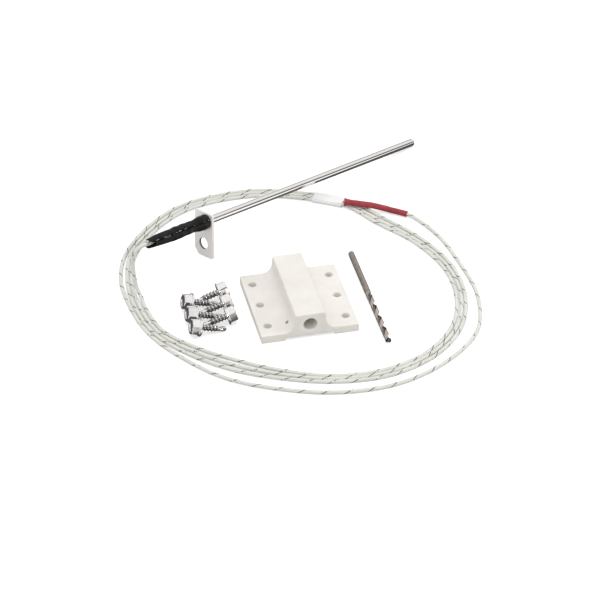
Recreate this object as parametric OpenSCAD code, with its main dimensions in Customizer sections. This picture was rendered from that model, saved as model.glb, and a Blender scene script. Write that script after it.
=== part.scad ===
/* [Sheath] */
// Outer diameter of the stainless sheath
sheath_d = 7; // [6:0.1:9]
// Wall of the sheath tube
sheath_wall = 0.8; // [0.4:0.1:1]
// Length from the plate's rear face to the tip
sheath_len = 260; // [150:1:300]
// Depth of the step in the sheath that seats the plate
seat_step = 0.25; // [0.15:0.05:0.3]
// Length of sheath behind the plate, inside the boot
tail_len = 16; // [10:1:24]
// Rounding of the welded tip
tip_round = 1.6; // [0.4:0.1:2.5]
// Length of the solid tip in front of the tube
tip_len = 3; // [2.6:0.1:8]
// Length of the tip's plug inside the tube
plug_len = 3; // [1:0.5:8]

/* [Sensing core] */
// Diameter of each sensor wire
wire_d = 0.8; // [0.4:0.1:1]
// Distance of each wire from the sheath's axis
wire_offset = 1.2; // [1.1:0.1:1.3]
// Length of the junction bead's straight part
bead_len = 1.5; // [1:0.1:4]
// Space between the tip's plug and the junction bead
bead_space = 0.4; // [0.2:0.1:3]
// Space between insulator beads
insulator_space = 0.3; // [0.2:0.1:1]
// Length of the cement plug in the sheath's tail
potting_len = 8; // [3:1:9]
// Height of the cement's dome behind the sheath
potting_dome = 1; // [0.5:0.1:2]

/* [Mounting plate] */
// Width of the plate
plate_w = 22.5; // [21:0.5:30]
// Height of the plate
plate_h = 42; // [36:0.5:52]
// Thickness of the plate
plate_t = 2.4; // [1.5:0.1:4]
// Distance of the sheath's axis from the plate's top edge
plate_axis_drop = 7.5; // [7:0.5:10]
// Distance of the sheath's axis from the plate's clipped side
plate_axis_side = 15; // [12:0.5:16]
// Diameter of the plate's hole
plate_hole_d = 10.5; // [5:0.5:12]
// Distance of the hole's centre from the plate's top edge
plate_hole_drop = 30; // [26:0.5:32]
// Size of the clipped corner
plate_clip = 5; // [3:0.5:6]
// Radius of the other corners
plate_corner_r = 1.8; // [0.5:0.1:3]
// Outer diameter of the collar behind the plate
collar_d = 11.4; // [10:0.1:12]
// Length of the collar
collar_len = 6; // [3:0.5:8]
// Chamfer at the collar's rear edge
collar_chamfer = 0.8; // [0.2:0.1:1.2]

/* [Boot and splices] */
// Length of the shrink boot
boot_len = 68; // [60:1:80]
// Wall of the boot over the collar
boot_wall = 1.1; // [0.8:0.1:2]
// Outer diameter of the boot over the splices
boot_mid_d = 11; // [9:0.1:13]
// Outer diameter of the boot at its cable end
boot_end_d = 8.5; // [6:0.1:9]
// Length over which the boot narrows towards its cable end, twice
boot_taper_len = 9; // [5:0.5:11]
// Distance from the collar back to the boot's waist
boot_waist_gap = 9; // [7:0.5:10]
// Height of the swell over the splices
boot_swell = 0.4; // [0.1:0.1:0.8]
// Depth of the V notch in the boot's cable end
notch_depth = 7; // [2:0.5:10]
// Length of each splice crimp
crimp_len = 9; // [6:0.5:12]
// Distance of the splice crimps behind the sheath's tail
crimp_setback = 5; // [3:0.5:8]
// Distance from the crimps to the lead's cut end
conductor_len = 9; // [5:0.5:12]
// Diameter of each lead conductor
conductor_d = 1; // [0.6:0.1:1]

/* [Lead] */
// Diameter of the braided lead
lead_d = 3.4; // [3:0.1:3.4]
// Distance between neighbouring strands in the label wrap
strand_pitch = 4; // [3.9:0.1:4]
// Length of the label wrap
label_len = 28; // [20:0.5:32]
// Width of the label wrap
label_w = 12.8; // [12.8:0.1:14]
// Height of the label wrap
label_h = 4.6; // [4.6:0.1:5]
// Wall of the label wrap
label_wall = 0.4; // [0.2:0.1:0.4]
// Outer diameter of the red sleeve
red_sleeve_d = 5.6; // [5.4:0.1:6]
// Diameter of the red sleeve's open end
red_mouth_d = 6.8; // [6.4:0.1:7]
// Wall of the red sleeve
red_sleeve_wall = 0.5; // [0.3:0.1:0.7]
// Length of the crimped terminal
terminal_len = 22; // [16:1:26]
// Diameter of the terminal's barrel
terminal_d = 3.6; // [3:0.1:4]

/* [Mounting block] */
// Width of the block, across its bore
block_w = 84; // [80:1:100]
// Length of the block, along its bore
block_len = 90; // [84:1:110]
// Height of the block
block_h = 24; // [22:0.5:32]
// Thickness of the block's flanges
flange_t = 7.5; // [5:0.5:9]
// Width of the rib's flat top
rib_w = 25.5; // [22:0.5:28]
// Slope of the rib's sides
rib_draft = 7; // [2:0.5:8]
// Radius of the fillets between rib and flanges
rib_fillet = 9; // [4:0.5:10]
// Radius of the block's upright corners
block_corner_r = 2.5; // [1:0.5:4]
// Diameter of the block's bore
bore_d = 11.6; // [9:0.1:13]
// Height of the bore's axis above the feet
bore_z = 13.4; // [12:0.1:15]
// Chamfer at both ends of the bore
bore_chamfer = 0.7; // [0.2:0.1:1.5]
// Width of the relief between the block's feet
relief_w = 42; // [30:1:46]
// Height of the relief between the feet
relief_h = 2.6; // [1:0.1:3]
// Diameter of each screw hole in the block
hole_d = 6.7; // [5:0.1:7]
// Distance between the two rows of screw holes
hole_rows = 67; // [64:0.5:69]
// Distance between neighbouring holes of a row
hole_pitch = 30.5; // [24:0.5:34]

/* [Drill bit] */
// Diameter of the drill
drill_d = 5.2; // [3:0.1:6]
// Overall length of the drill
drill_len = 132; // [100:1:150]
// Length of the fluted end
flute_len = 72; // [50:1:80]
// Length of one full turn of a flute
flute_lead = 32; // [24:1:45]
// Thickness of the web between the flutes
web_t = 1.3; // [0.8:0.1:1.8]
// Point angle of the drill
drill_point = 118; // [90:1:140]

/* [Screws] */
// Diameter of the screw's washer face
washer_d = 16; // [15:0.1:16.5]
// Thickness of the screw's washer face
washer_t = 1.6; // [1:0.1:2]
// Width across the flats of the hex head
hex_af = 12.7; // [10:0.1:13]
// Height of the hex head above its washer
hex_h = 6.8; // [3:0.1:8]
// Diameter of the screw's threaded length
thread_d = 6.2; // [5:0.1:6.4]
// Length of the threaded part
thread_len = 14; // [8:0.5:20]
// Diameter of the drilling point
pilot_d = 4.2; // [3:0.1:5]
// Length of the drilling point
pilot_len = 9.6; // [6:0.1:12]

/* [Layout] */
// Turn of the probe seen from above, from the block's width
probe_yaw = 31; // [25:0.5:33]
// Lean of the mounting plate to its clipped side
probe_roll = 6; // [0:0.5:8]

/* [Hidden] */
$fn = 48;

// Clearance around a piece that slips into another
fit = 0.2;
// Amount by which a cut runs past a face
cut = 1;
// Number of two-bore beads that share the sheath's length
insulator_count = 3;

// Places on the table, seen from above: X to the right, Y away from the front
plate_spot = [-80.8, 12.9];
block_spot = [-20, -80];
drill_spot = [41.5, -16.5];
label_spot = [42, 70.3];
label_turn = -31;
// Each screw's washer centre and the way its point looks: a left row of three and a right row of three
screw_spots = [[-109, -64, 2], [-109, -82.3, 2], [-109, -100.5, 2], [-84.4, -54.6, 187], [-84.4, -72.4, 186],
    [-84.4, -89.9, 184]];

sheath_r = sheath_d / 2;
sheath_id = sheath_d - 2 * sheath_wall;
tail_d = sheath_d - 2 * seat_step;

// The probe leans on its plate's clipped corner and on its tip, so its pitch follows from their distance
plate_low = (plate_h - plate_axis_drop) * cos(probe_roll) + (plate_axis_side - plate_clip) * sin(probe_roll);
probe_pitch = atan((plate_low - sheath_r) / (sheath_len - tip_round - plate_t));
plate_axis_z = plate_low * cos(probe_pitch) + plate_t * sin(probe_pitch);
probe_spot = [plate_spot.x, plate_spot.y, plate_axis_z];

// Carries a point of the probe's own frame (X along the sheath to the tip, origin in the plate's rear face)
// to its place on the table, as place_probe() does for solids
function rolled(p) = [
    p.x,
    p.y * cos(probe_roll) + p.z * sin(probe_roll),
    p.z * cos(probe_roll) - p.y * sin(probe_roll)
];
function pitched(p) = [
    p.x * cos(probe_pitch) + p.z * sin(probe_pitch),
    p.y,
    p.z * cos(probe_pitch) - p.x * sin(probe_pitch)
];
function turned(p, angle) = [
    p.x * cos(angle) - p.y * sin(angle),
    p.x * sin(angle) + p.y * cos(angle),
    p.z
];
function on_table(p) = probe_spot + turned(pitched(rolled(p)), probe_yaw);

// Stations along the probe's axis, from the tip back to the lead's cut end
tube_front_x = sheath_len - tip_len;
bead_front_x = tube_front_x - plug_len - bead_space;
bead_d = 2 * wire_offset + wire_d + fit;
bead_back_x = bead_front_x - bead_d / 2 - bead_len;
tube_back_x = -tail_len;
potting_front_x = tube_back_x + potting_len;
core_len = bead_back_x - potting_front_x;
insulator_len = (core_len - (insulator_count + 1) * insulator_space) / insulator_count;
crimp_front_x = tube_back_x - crimp_setback;
crimp_back_x = crimp_front_x - crimp_len;
crimp_mid_x = (crimp_front_x + crimp_back_x) / 2;
lead_end_x = crimp_back_x - conductor_len;

// Diameters that follow from what passes through or goes in
core_d = sheath_id - 2 * fit;
wire_bore_d = wire_d + 2 * fit;
crimp_d = 2 * wire_offset - fit;
crimp_bore_d = max(wire_d, conductor_d) + 2 * fit;
splice_space_d = 2 * wire_offset + crimp_d + 2 * fit;
seat_bore_d = tail_d + fit;
tail_bore_d = tail_d + 2 * fit;
lead_bore_d = lead_d + 2 * fit;
boot_collar_r = collar_d / 2 + fit + boot_wall;

// Heights of the lead's axis on the table and in the label wrap
lie_z = lead_d / 2;
wrap_z = label_h / 2;
label_run = 18;

// The lead's route: out of the boot, down to the table, then three and three quarter loose turns outwards,
// three of them through the label wrap. A point without a height lies on the table.
exit_straight = 7.5;
boot_exit = on_table([-boot_len, 0, 0]);
in_boot = [on_table([lead_end_x, 0, 0]), boot_exit, on_table([-boot_len - exit_straight, 0, 0])];
drop = [[-149.5, -28.5, 43.5], [-152, -30, 40.5], [-153, -30.5, 36], [-152.5, -31.5, 20], [-151.5, -33.5, 11],
    [-150, -37, 6], [-148.5, -42, 3]];
turn_1 = [[-148, -52], [-138.5, -91.5], [-113.5, -122], [-85, -145.5], [-54, -165.5], [-17, -181.5],
    [26, -184], [68, -169], [99.5, -137], [114.5, -95], [114.5, -52], [99.5, -9.5], [75.5, 25.5]];
link_1 = [[-24.5, 92.5], [-88, 82]];
turn_2 = [[-136.5, 35], [-151.5, -8.5], [-152, -52], [-142.5, -92.5], [-118, -125.5], [-89, -151],
    [-55.5, -170.5], [-17, -185.5], [27, -188], [70, -172], [103, -139], [118.5, -96], [118.5, -52],
    [103, -8.5], [78.5, 28]];
link_2 = [[-25, 97], [-90, 85.5]];
turn_3 = [[-140, 37.5], [-155, -7], [-156, -52], [-146, -94], [-122.5, -128.5], [-92.5, -156],
    [-57, -175.5], [-17, -189.5], [28.5, -192], [72.5, -175.5], [106, -141.5], [122, -97], [122.5, -52],
    [107.5, -7], [83, 32]];
link_3 = [[-25, 101.5], [-92.5, 89.5]];
turn_4 = [[-143.5, 39.5], [-160.5, -5.5], [-160, -52], [-150, -95], [-128.5, -133], [-100, -166],
    [-61.5, -189], [-17, -204], [32.5, -204.5], [80, -185], [117.5, -149.5], [132, -100.5], [130.5, -52],
    [122, -1.5]];
// The red sleeve's axis, from the lead's side to the open end, which rests on the strands by the label
red_route = [[105, 31.5, 2.9], [91.5, 40.5, 3.6], [78, 46.5, 6], [53, 55.5, 8.2]];

function label_point(along, lane) = [
    label_spot.x + along * cos(label_turn) - lane * strand_pitch * sin(label_turn),
    label_spot.y + along * sin(label_turn) + lane * strand_pitch * cos(label_turn),
    wrap_z
];
function label_pass(lane) = [for (along = [label_run, 0, -label_run]) label_point(along, lane)];
function on_height(p) = len(p) == 3 ? p : [p.x, p.y, lie_z];
lead_route = [for (p = concat(in_boot, drop, turn_1, label_pass(-1), link_1, turn_2, label_pass(0), link_2,
    turn_3, label_pass(1), link_3, turn_4, [red_route[0], red_route[1], red_route[2]])) on_height(p)];

// A tube swept along a route: one ring of corners at each point, square to the way there
function unit(v) = v / norm(v);
function way(route, i) = unit(
    (i == 0 ? [0, 0, 0] : unit(route[i] - route[i - 1]))
    + (i == len(route) - 1 ? [0, 0, 0] : unit(route[i + 1] - route[i]))
);
function square_to(v, w) = unit(v - (v * w) * w);
function ring(centre, side, w, r, sides) = [
    for (k = [0 : sides - 1])
        centre + r * (cos(360 * k / sides) * side + sin(360 * k / sides) * cross(w, side))
];
function sides_of(ways) = [
    for (i = 0, s = square_to([0.3, -0.6, 0.7], ways[0]);
        i < len(ways);
        i = i + 1, s = i < len(ways) ? square_to(s, ways[i]) : s) s
];
module sweep(route, radii, sides) {
    ways = [for (i = [0 : len(route) - 1]) way(route, i)];
    starts = sides_of(ways);
    corners = [for (i = [0 : len(route) - 1]) each ring(route[i], starts[i], ways[i], radii[i], sides)];
    last = (len(route) - 1) * sides;
    walls = [
        for (i = [0 : len(route) - 2])
            for (k = [0 : sides - 1])
                let (j = (k + 1) % sides, a = i * sides, b = a + sides)
                    each [[a + k, b + k, b + j], [a + k, b + j, a + j]]
    ];
    first_end = [for (k = [0 : sides - 1]) k];
    last_end = [for (k = [sides - 1 : -1 : 0]) last + k];
    polyhedron(points = corners, faces = concat(walls, [first_end, last_end]));
}

// Places the probe's own frame on the table
module place_probe() {
    translate(probe_spot) rotate([-probe_roll, probe_pitch, probe_yaw]) children();
}
// A round solid or bore along the probe's axis, or beside it by the given offset
module along_x(from, to, d, offset = 0) {
    translate([from, offset, 0]) rotate([0, 90, 0]) cylinder(d = d, h = to - from);
}
// A solid of revolution about the probe's axis, from points of [radius, station]
module revolve_x(points) {
    rotate([0, 90, 0]) rotate_extrude() polygon(points);
}

module sheath_tube() {
    color("silver") place_probe() revolve_x([
        [sheath_id / 2, tube_back_x],
        [tail_d / 2, tube_back_x],
        [tail_d / 2, plate_t],
        [sheath_r, plate_t],
        [sheath_r, tube_front_x],
        [sheath_id / 2, tube_front_x]
    ]);
}

module tip_cap() {
    round_x = sheath_len - tip_round;
    color("lightgray") place_probe() rotate([0, 90, 0]) rotate_extrude() {
        translate([0, tube_front_x - plug_len]) square([core_d / 2, plug_len + tip_len / 2]);
        translate([0, tube_front_x]) square([sheath_r, round_x - tube_front_x]);
        translate([0, tube_front_x]) square([sheath_r - tip_round, tip_len]);
        translate([sheath_r - tip_round, round_x]) intersection() {
            circle(r = tip_round);
            translate([0, -tip_round]) square([tip_round, 2 * tip_round]);
        }
    }
}

module sensing_junction() {
    color("dimgray") place_probe() {
        along_x(bead_back_x, bead_back_x + bead_len, bead_d);
        translate([bead_back_x + bead_len, 0, 0]) rotate([0, 90, 0]) rotate_extrude() intersection() {
            circle(d = bead_d);
            square(bead_d / 2);
        }
    }
}

module insulator(index) {
    back = potting_front_x + insulator_space + index * (insulator_len + insulator_space);
    color("ivory") place_probe() difference() {
        along_x(back, back + insulator_len, core_d);
        for (side = [-1, 1]) along_x(back - cut, back + insulator_len + cut, wire_bore_d, side * wire_offset);
    }
}

module end_potting() {
    color("tan") place_probe() difference() {
        union() {
            along_x(tube_back_x, potting_front_x, core_d);
            revolve_x([
                [0, tube_back_x - potting_dome],
                [core_d / 2, tube_back_x - potting_dome / 2],
                [core_d / 2, tube_back_x],
                [0, tube_back_x]
            ]);
        }
        for (side = [-1, 1]) {
            along_x(tube_back_x - potting_dome - cut, potting_front_x + cut, wire_bore_d, side * wire_offset);
        }
    }
}

module sensor_wire(side) {
    color("gray") place_probe() along_x(crimp_mid_x + fit, bead_back_x, wire_d, side * wire_offset);
}

module splice_crimp(side) {
    color("goldenrod") place_probe() difference() {
        along_x(crimp_back_x, crimp_front_x, crimp_d, side * wire_offset);
        along_x(crimp_back_x - cut, crimp_front_x + cut, crimp_bore_d, side * wire_offset);
    }
}

module lead_conductor(side) {
    color("peru") place_probe() along_x(lead_end_x, crimp_mid_x - fit, conductor_d, side * wire_offset);
}

module plate_outline() {
    left = plate_axis_side;
    right = plate_axis_side - plate_w;
    top = plate_axis_drop;
    bottom = plate_axis_drop - plate_h;
    r = plate_corner_r;
    difference() {
        union() {
            translate([right, bottom + r]) square([plate_w, plate_h - 2 * r]);
            translate([right + r, bottom]) square([plate_w - 2 * r, plate_h]);
            for (x = [left - r, right + r], y = [top - r, bottom + r]) translate([x, y]) circle(r = r);
        }
        polygon([
            [left - plate_clip - cut, bottom - cut],
            [left + cut, bottom - cut],
            [left + cut, bottom + plate_clip + cut]
        ]);
    }
}

module mounting_plate() {
    hole_side = plate_axis_side - plate_w / 2;
    hole_height = plate_axis_drop - plate_hole_drop;
    color("lightgray") place_probe() difference() {
        rotate([90, 0, 90]) linear_extrude(plate_t) plate_outline();
        along_x(-cut, plate_t + cut, seat_bore_d);
        translate([0, 0, hole_height]) along_x(-cut, plate_t + cut, plate_hole_d, hole_side);
    }
}

module braze_collar() {
    color("darkgray") place_probe() difference() {
        revolve_x([
            [0, -collar_len],
            [collar_d / 2 - collar_chamfer, -collar_len],
            [collar_d / 2, -collar_len + collar_chamfer],
            [collar_d / 2, 0],
            [0, 0]
        ]);
        along_x(-collar_len - cut, cut, tail_bore_d);
    }
}

// The boot's outline: thick over the collar, a waist behind it, a swell over the splices, thin at the cable end
module heat_shrink_boot() {
    mid_r = boot_mid_d / 2;
    end_r = boot_end_d / 2;
    edge = 0.4;
    shoulder = 5 * edge;
    notch_half = 0.8 * end_r;
    waist_x = -collar_len - boot_waist_gap;
    color("black") place_probe() difference() {
        revolve_x([
            [0, -boot_len],
            [end_r - edge, -boot_len],
            [end_r, -boot_len + edge],
            [(mid_r + end_r) / 2, -boot_len + boot_taper_len],
            [mid_r, lead_end_x - boot_taper_len],
            [mid_r, lead_end_x],
            [mid_r + boot_swell, crimp_mid_x - crimp_len / 4],
            [mid_r + boot_swell, crimp_mid_x + crimp_len / 4],
            [mid_r, waist_x],
            [(mid_r + boot_collar_r) / 2, waist_x + boot_waist_gap / 2],
            [boot_collar_r - edge, -collar_len - shoulder],
            [boot_collar_r, -collar_len],
            [boot_collar_r, -2 * edge],
            [boot_collar_r - edge, 0],
            [0, 0]
        ]);
        along_x(-collar_len - fit, cut, collar_d + 2 * fit);
        along_x(tube_back_x - potting_dome - fit, cut, tail_bore_d);
        along_x(lead_end_x, cut, splice_space_d);
        along_x(-boot_len - cut, cut, lead_bore_d);
        translate([-boot_len, 0, 0]) rotate([90, 0, 0]) linear_extrude(boot_mid_d, center = true) polygon([
            [-cut, -notch_half],
            [notch_depth, 0],
            [-cut, notch_half]
        ]);
    }
}

module lead_cable() {
    color("honeydew") sweep(lead_route, [for (p = lead_route) lead_d / 2], 8);
}

// A flat oval of the given width and height
module flat_oval(w, h) {
    square([w - h, h], center = true);
    for (side = [-1, 1]) translate([side * (w - h) / 2, 0]) circle(d = h);
}

module label_wrap() {
    color("white") translate([label_spot.x, label_spot.y, wrap_z]) rotate([90, 0, label_turn + 90])
        linear_extrude(label_len, center = true) difference() {
            flat_oval(label_w, label_h);
            flat_oval(label_w - 2 * label_wall, label_h - 2 * label_wall);
        }
}

module red_sleeve() {
    body_r = red_sleeve_d / 2;
    mouth_r = red_mouth_d / 2;
    mouth = red_route[3];
    mouth_way = unit(mouth - red_route[2]);
    flare = 6;
    route = concat([red_route[0], red_route[1], red_route[2]], [mouth - flare * mouth_way, mouth]);
    bore_route = concat(
        [route[0] + cut * unit(route[0] - route[1])],
        [for (i = [1 : len(route) - 2]) route[i]],
        [mouth + cut * mouth_way]
    );
    outer = [body_r, body_r, body_r, body_r, mouth_r];
    color("firebrick") difference() {
        sweep(route, outer, 16);
        sweep(bore_route, [for (r = outer) r - red_sleeve_wall], 16);
    }
}

// Terminal: a closed barrel against the lead's end, a neck and a round-nosed pin
module lead_terminal() {
    barrel_r = terminal_d / 2;
    neck_r = barrel_r * 0.6;
    pin_r = barrel_r * 0.55;
    barrel_len = terminal_len * 0.55;
    neck_len = terminal_len * 0.1;
    axis = red_route[3] - red_route[2];
    edge = 0.3;
    foot = red_route[2] + 2 * fit * unit(axis);
    color("gold") translate(foot) rotate([0, acos(axis.z / norm(axis)), atan2(axis.y, axis.x)])
        rotate_extrude() polygon([
            [0, 0],
            [barrel_r - edge, 0],
            [barrel_r, edge],
            [barrel_r, barrel_len - edge],
            [barrel_r - edge, barrel_len],
            [neck_r, barrel_len],
            [neck_r, barrel_len + neck_len],
            [pin_r, barrel_len + neck_len],
            [pin_r, terminal_len - pin_r],
            [pin_r * 0.5, terminal_len],
            [0, terminal_len]
        ]);
}

// Section of the block across its bore: two flanges and a drafted rib with a fillet at each foot
module block_section() {
    rib_foot = rib_w / 2 + (block_h - flange_t) * tan(rib_draft);
    fillet_x = rib_foot + rib_fillet * (1 - sin(rib_draft)) / cos(rib_draft);
    fillet_z = flange_t + rib_fillet;
    difference() {
        union() {
            translate([-block_w / 2, 0]) square([block_w, flange_t]);
            polygon([[-rib_foot, flange_t], [rib_foot, flange_t], [rib_w / 2, block_h], [-rib_w / 2, block_h]]);
            for (side = [0, 1]) mirror([side, 0]) difference() {
                polygon([
                    [rib_foot, flange_t],
                    [fillet_x, flange_t],
                    [fillet_x, fillet_z],
                    [fillet_x - rib_fillet * cos(rib_draft), fillet_z - rib_fillet * sin(rib_draft)]
                ]);
                translate([fillet_x, fillet_z]) circle(r = rib_fillet);
            }
        }
        translate([-relief_w / 2, -cut]) square([relief_w, relief_h + cut]);
    }
}

// The block seen from above, with its upright corners rounded
module block_plan() {
    r = block_corner_r;
    square([block_w - 2 * r, block_len], center = true);
    square([block_w, block_len - 2 * r], center = true);
    for (x = [-1, 1], y = [-1, 1]) {
        translate([x * (block_w / 2 - r), y * (block_len / 2 - r)]) circle(r = r);
    }
}

module mounting_block() {
    bore_r = bore_d / 2;
    half = block_len / 2;
    color("ivory") translate([block_spot.x, block_spot.y, 0]) difference() {
        intersection() {
            rotate([90, 0, 0]) linear_extrude(block_len, center = true) block_section();
            linear_extrude(block_h) block_plan();
        }
        translate([0, 0, bore_z]) rotate([90, 0, 0]) rotate_extrude() polygon([
            [0, -half - cut],
            [bore_r + bore_chamfer + cut, -half - cut],
            [bore_r, -half + bore_chamfer],
            [bore_r, half - bore_chamfer],
            [bore_r + bore_chamfer + cut, half + cut],
            [0, half + cut]
        ]);
        for (x = [-1, 1], row = [-1, 0, 1]) {
            translate([x * hole_rows / 2, row * hole_pitch, -cut]) cylinder(d = hole_d, h = flange_t + 2 * cut);
        }
    }
}

// Section of the fluted end: a round with two flutes that leave the web between them
module flute_section() {
    flute_r = drill_d * 0.37;
    difference() {
        circle(d = drill_d, $fn = 20);
        for (side = [-1, 1]) translate([side * (web_t / 2 + flute_r), 0]) circle(r = flute_r, $fn = 16);
    }
}

module drill_bit() {
    shank_len = drill_len - flute_len;
    point_len = drill_d / 2 / tan(drill_point / 2);
    edge = drill_d / 12;
    r = drill_d / 2;
    root_r = 0.4 * web_t;
    color("rosybrown") translate([drill_spot.x, drill_spot.y, r]) rotate([90, 0, 0]) {
        rotate_extrude() polygon([
            [0, 0],
            [r - edge, 0],
            [r, edge],
            [r, shank_len],
            [root_r, shank_len],
            [root_r, shank_len + root_r],
            [0, shank_len + root_r]
        ]);
        translate([0, 0, shank_len]) intersection() {
            linear_extrude(flute_len, twist = -360 * flute_len / flute_lead, slices = flute_len / flute_lead * 16)
                flute_section();
            rotate_extrude($fn = 24) polygon([
                [0, 0],
                [r + edge, 0],
                [r + edge, flute_len - point_len * (1 + edge / r)],
                [0, flute_len]
            ]);
        }
    }
}

// A hex washer-head screw lying on the table: its washer's rim and its point's shoulder touch it
module screw(spot) {
    shank_len = thread_len + pilot_len;
    point_len = pilot_d * 0.45;
    washer_r = washer_d / 2;
    pilot_r = pilot_d / 2;
    straight = shank_len - point_len;
    slope = atan((washer_r - pilot_r) / straight);
    color("gainsboro") translate([spot.x, spot.y, washer_r * cos(slope)]) rotate([0, 90 + slope, spot.z]) {
        rotate_extrude() polygon([
            [0, -washer_t],
            [washer_r - washer_t / 2, -washer_t],
            [washer_r, -washer_t / 2],
            [washer_r, 0],
            [thread_d / 2, 0],
            [thread_d / 2, thread_len],
            [pilot_r, thread_len + (thread_d - pilot_d) / 2],
            [pilot_r, straight],
            [0, shank_len]
        ]);
        translate([0, 0, -washer_t - hex_h]) intersection() {
            cylinder(d = hex_af / cos(30), h = hex_h + washer_t / 2, $fn = 6);
            cylinder(r1 = 0.47 * hex_af, r2 = 0.47 * hex_af + 2.2 * hex_h, h = 1.6 * hex_h);
        }
    }
}

sheath_tube();
tip_cap();
sensing_junction();
insulator(0);  // insulator_1
insulator(1);  // insulator_2
insulator(2);  // insulator_3
end_potting();
sensor_wire(-1);  // sensor_wire_a
sensor_wire(1);  // sensor_wire_b
mounting_plate();
braze_collar();
splice_crimp(-1);  // splice_crimp_a
splice_crimp(1);  // splice_crimp_b
lead_conductor(-1);  // lead_conductor_a
lead_conductor(1);  // lead_conductor_b
heat_shrink_boot();
lead_cable();
label_wrap();
red_sleeve();
lead_terminal();
mounting_block();
drill_bit();
screw(screw_spots[0]);  // screw_1
screw(screw_spots[1]);  // screw_2
screw(screw_spots[2]);  // screw_3
screw(screw_spots[3]);  // screw_4
screw(screw_spots[4]);  // screw_5
screw(screw_spots[5]);  // screw_6
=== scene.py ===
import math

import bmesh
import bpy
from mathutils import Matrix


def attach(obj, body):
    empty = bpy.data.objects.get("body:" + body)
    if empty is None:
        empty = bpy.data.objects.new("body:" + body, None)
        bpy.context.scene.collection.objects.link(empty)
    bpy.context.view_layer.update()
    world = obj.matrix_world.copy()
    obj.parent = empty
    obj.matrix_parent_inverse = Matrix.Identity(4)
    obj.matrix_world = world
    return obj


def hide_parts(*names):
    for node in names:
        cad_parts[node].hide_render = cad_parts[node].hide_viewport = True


bl_info = {
    "name": "Flame Sensor Probe",
    "version": (1, 0, 0),
    "blender": (4, 5, 0),
    "location": "3D View > Sidebar > Flame Probe",
    "description": "Dresses a flame sensor probe with its lead, ceramic block, screws and drill",
    "category": "Object",
}

from mathutils import Matrix, Vector, noise

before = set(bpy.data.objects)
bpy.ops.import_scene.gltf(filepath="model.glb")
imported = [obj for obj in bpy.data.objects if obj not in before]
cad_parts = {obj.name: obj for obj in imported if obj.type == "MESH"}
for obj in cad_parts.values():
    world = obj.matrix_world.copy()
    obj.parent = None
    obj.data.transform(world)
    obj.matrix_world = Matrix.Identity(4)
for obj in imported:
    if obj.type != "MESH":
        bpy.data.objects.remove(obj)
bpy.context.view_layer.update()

TAU = 2 * math.pi

# ---------------------------------------------------------------- places and the lead's route
# All lengths are in metres. The probe's own X runs along the sheath to its tip, from the mounting
# plate's rear face.

PROBE_SPOT = Vector((-0.0808, 0.0129, 0.035382))
PROBE_ROLL, PROBE_PITCH, PROBE_YAW = 6.0, 7.09335, 31.0
BLOCK_SPOT = (-0.02, -0.08)


def place(spot, x_deg, y_deg, z_deg):
    """The matrix that turns about X, then Y, then Z, and moves to a spot."""
    turn = (
        Matrix.Rotation(math.radians(z_deg), 4, "Z")
        @ Matrix.Rotation(math.radians(y_deg), 4, "Y")
        @ Matrix.Rotation(math.radians(x_deg), 4, "X")
    )
    return Matrix.Translation(Vector(spot)) @ turn


PROBE_PLACE = place(PROBE_SPOT, -PROBE_ROLL, PROBE_PITCH, PROBE_YAW)
BOOT_END = -0.068

# Heights of a strand on the table and of one in the label.
LIE_Z = 0.0017
WRAP_Z = 0.0023
LABEL_SPOT = (0.042, 0.0703)
LABEL_TURN = math.radians(-31)
LABEL_RUN = 0.018
STRAND_PITCH = 0.004
DROP = [
    (-0.1495, -0.0285, 0.0435), (-0.152, -0.03, 0.0405), (-0.153, -0.0305, 0.036),
    (-0.1525, -0.0315, 0.02), (-0.1515, -0.0335, 0.011), (-0.15, -0.037, 0.006),
    (-0.1485, -0.042, 0.003),
]
TURN_1 = [
    (-0.148, -0.052), (-0.1385, -0.0915), (-0.1135, -0.122), (-0.085, -0.1455),
    (-0.054, -0.1655), (-0.017, -0.1815), (0.026, -0.184), (0.068, -0.169), (0.0995, -0.137),
    (0.1145, -0.095), (0.1145, -0.052), (0.0995, -0.0095), (0.0755, 0.0255),
]
LINK_1 = [(-0.0245, 0.0925), (-0.088, 0.082)]
TURN_2 = [
    (-0.1365, 0.035), (-0.1515, -0.0085), (-0.152, -0.052), (-0.1425, -0.0925),
    (-0.118, -0.1255), (-0.089, -0.151), (-0.0555, -0.1705), (-0.017, -0.1855), (0.027, -0.188),
    (0.07, -0.172), (0.103, -0.139), (0.1185, -0.096), (0.1185, -0.052), (0.103, -0.0085),
    (0.0785, 0.028),
]
LINK_2 = [(-0.025, 0.097), (-0.09, 0.0855)]
TURN_3 = [
    (-0.14, 0.0375), (-0.155, -0.007), (-0.156, -0.052), (-0.146, -0.094), (-0.1225, -0.1285),
    (-0.0925, -0.156), (-0.057, -0.1755), (-0.017, -0.1895), (0.0285, -0.192),
    (0.0725, -0.1755), (0.106, -0.1415), (0.122, -0.097), (0.1225, -0.052), (0.1075, -0.007),
    (0.083, 0.032),
]
LINK_3 = [(-0.025, 0.1015), (-0.0925, 0.0895)]
TURN_4 = [
    (-0.1435, 0.0395), (-0.1605, -0.0055), (-0.16, -0.052), (-0.15, -0.095), (-0.1285, -0.133),
    (-0.1, -0.166), (-0.0615, -0.189), (-0.017, -0.204), (0.0325, -0.2045), (0.08, -0.185),
    (0.1175, -0.1495), (0.132, -0.1005), (0.1305, -0.052), (0.122, -0.0015),
]
RED_ROUTE = [
    (0.105, 0.0315, 0.0029), (0.0915, 0.0405, 0.0036), (0.078, 0.0465, 0.006),
    (0.053, 0.0555, 0.0082),
]


def probe_point(x, y=0.0, z=0.0):
    return PROBE_PLACE @ Vector((x, y, z))


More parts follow.
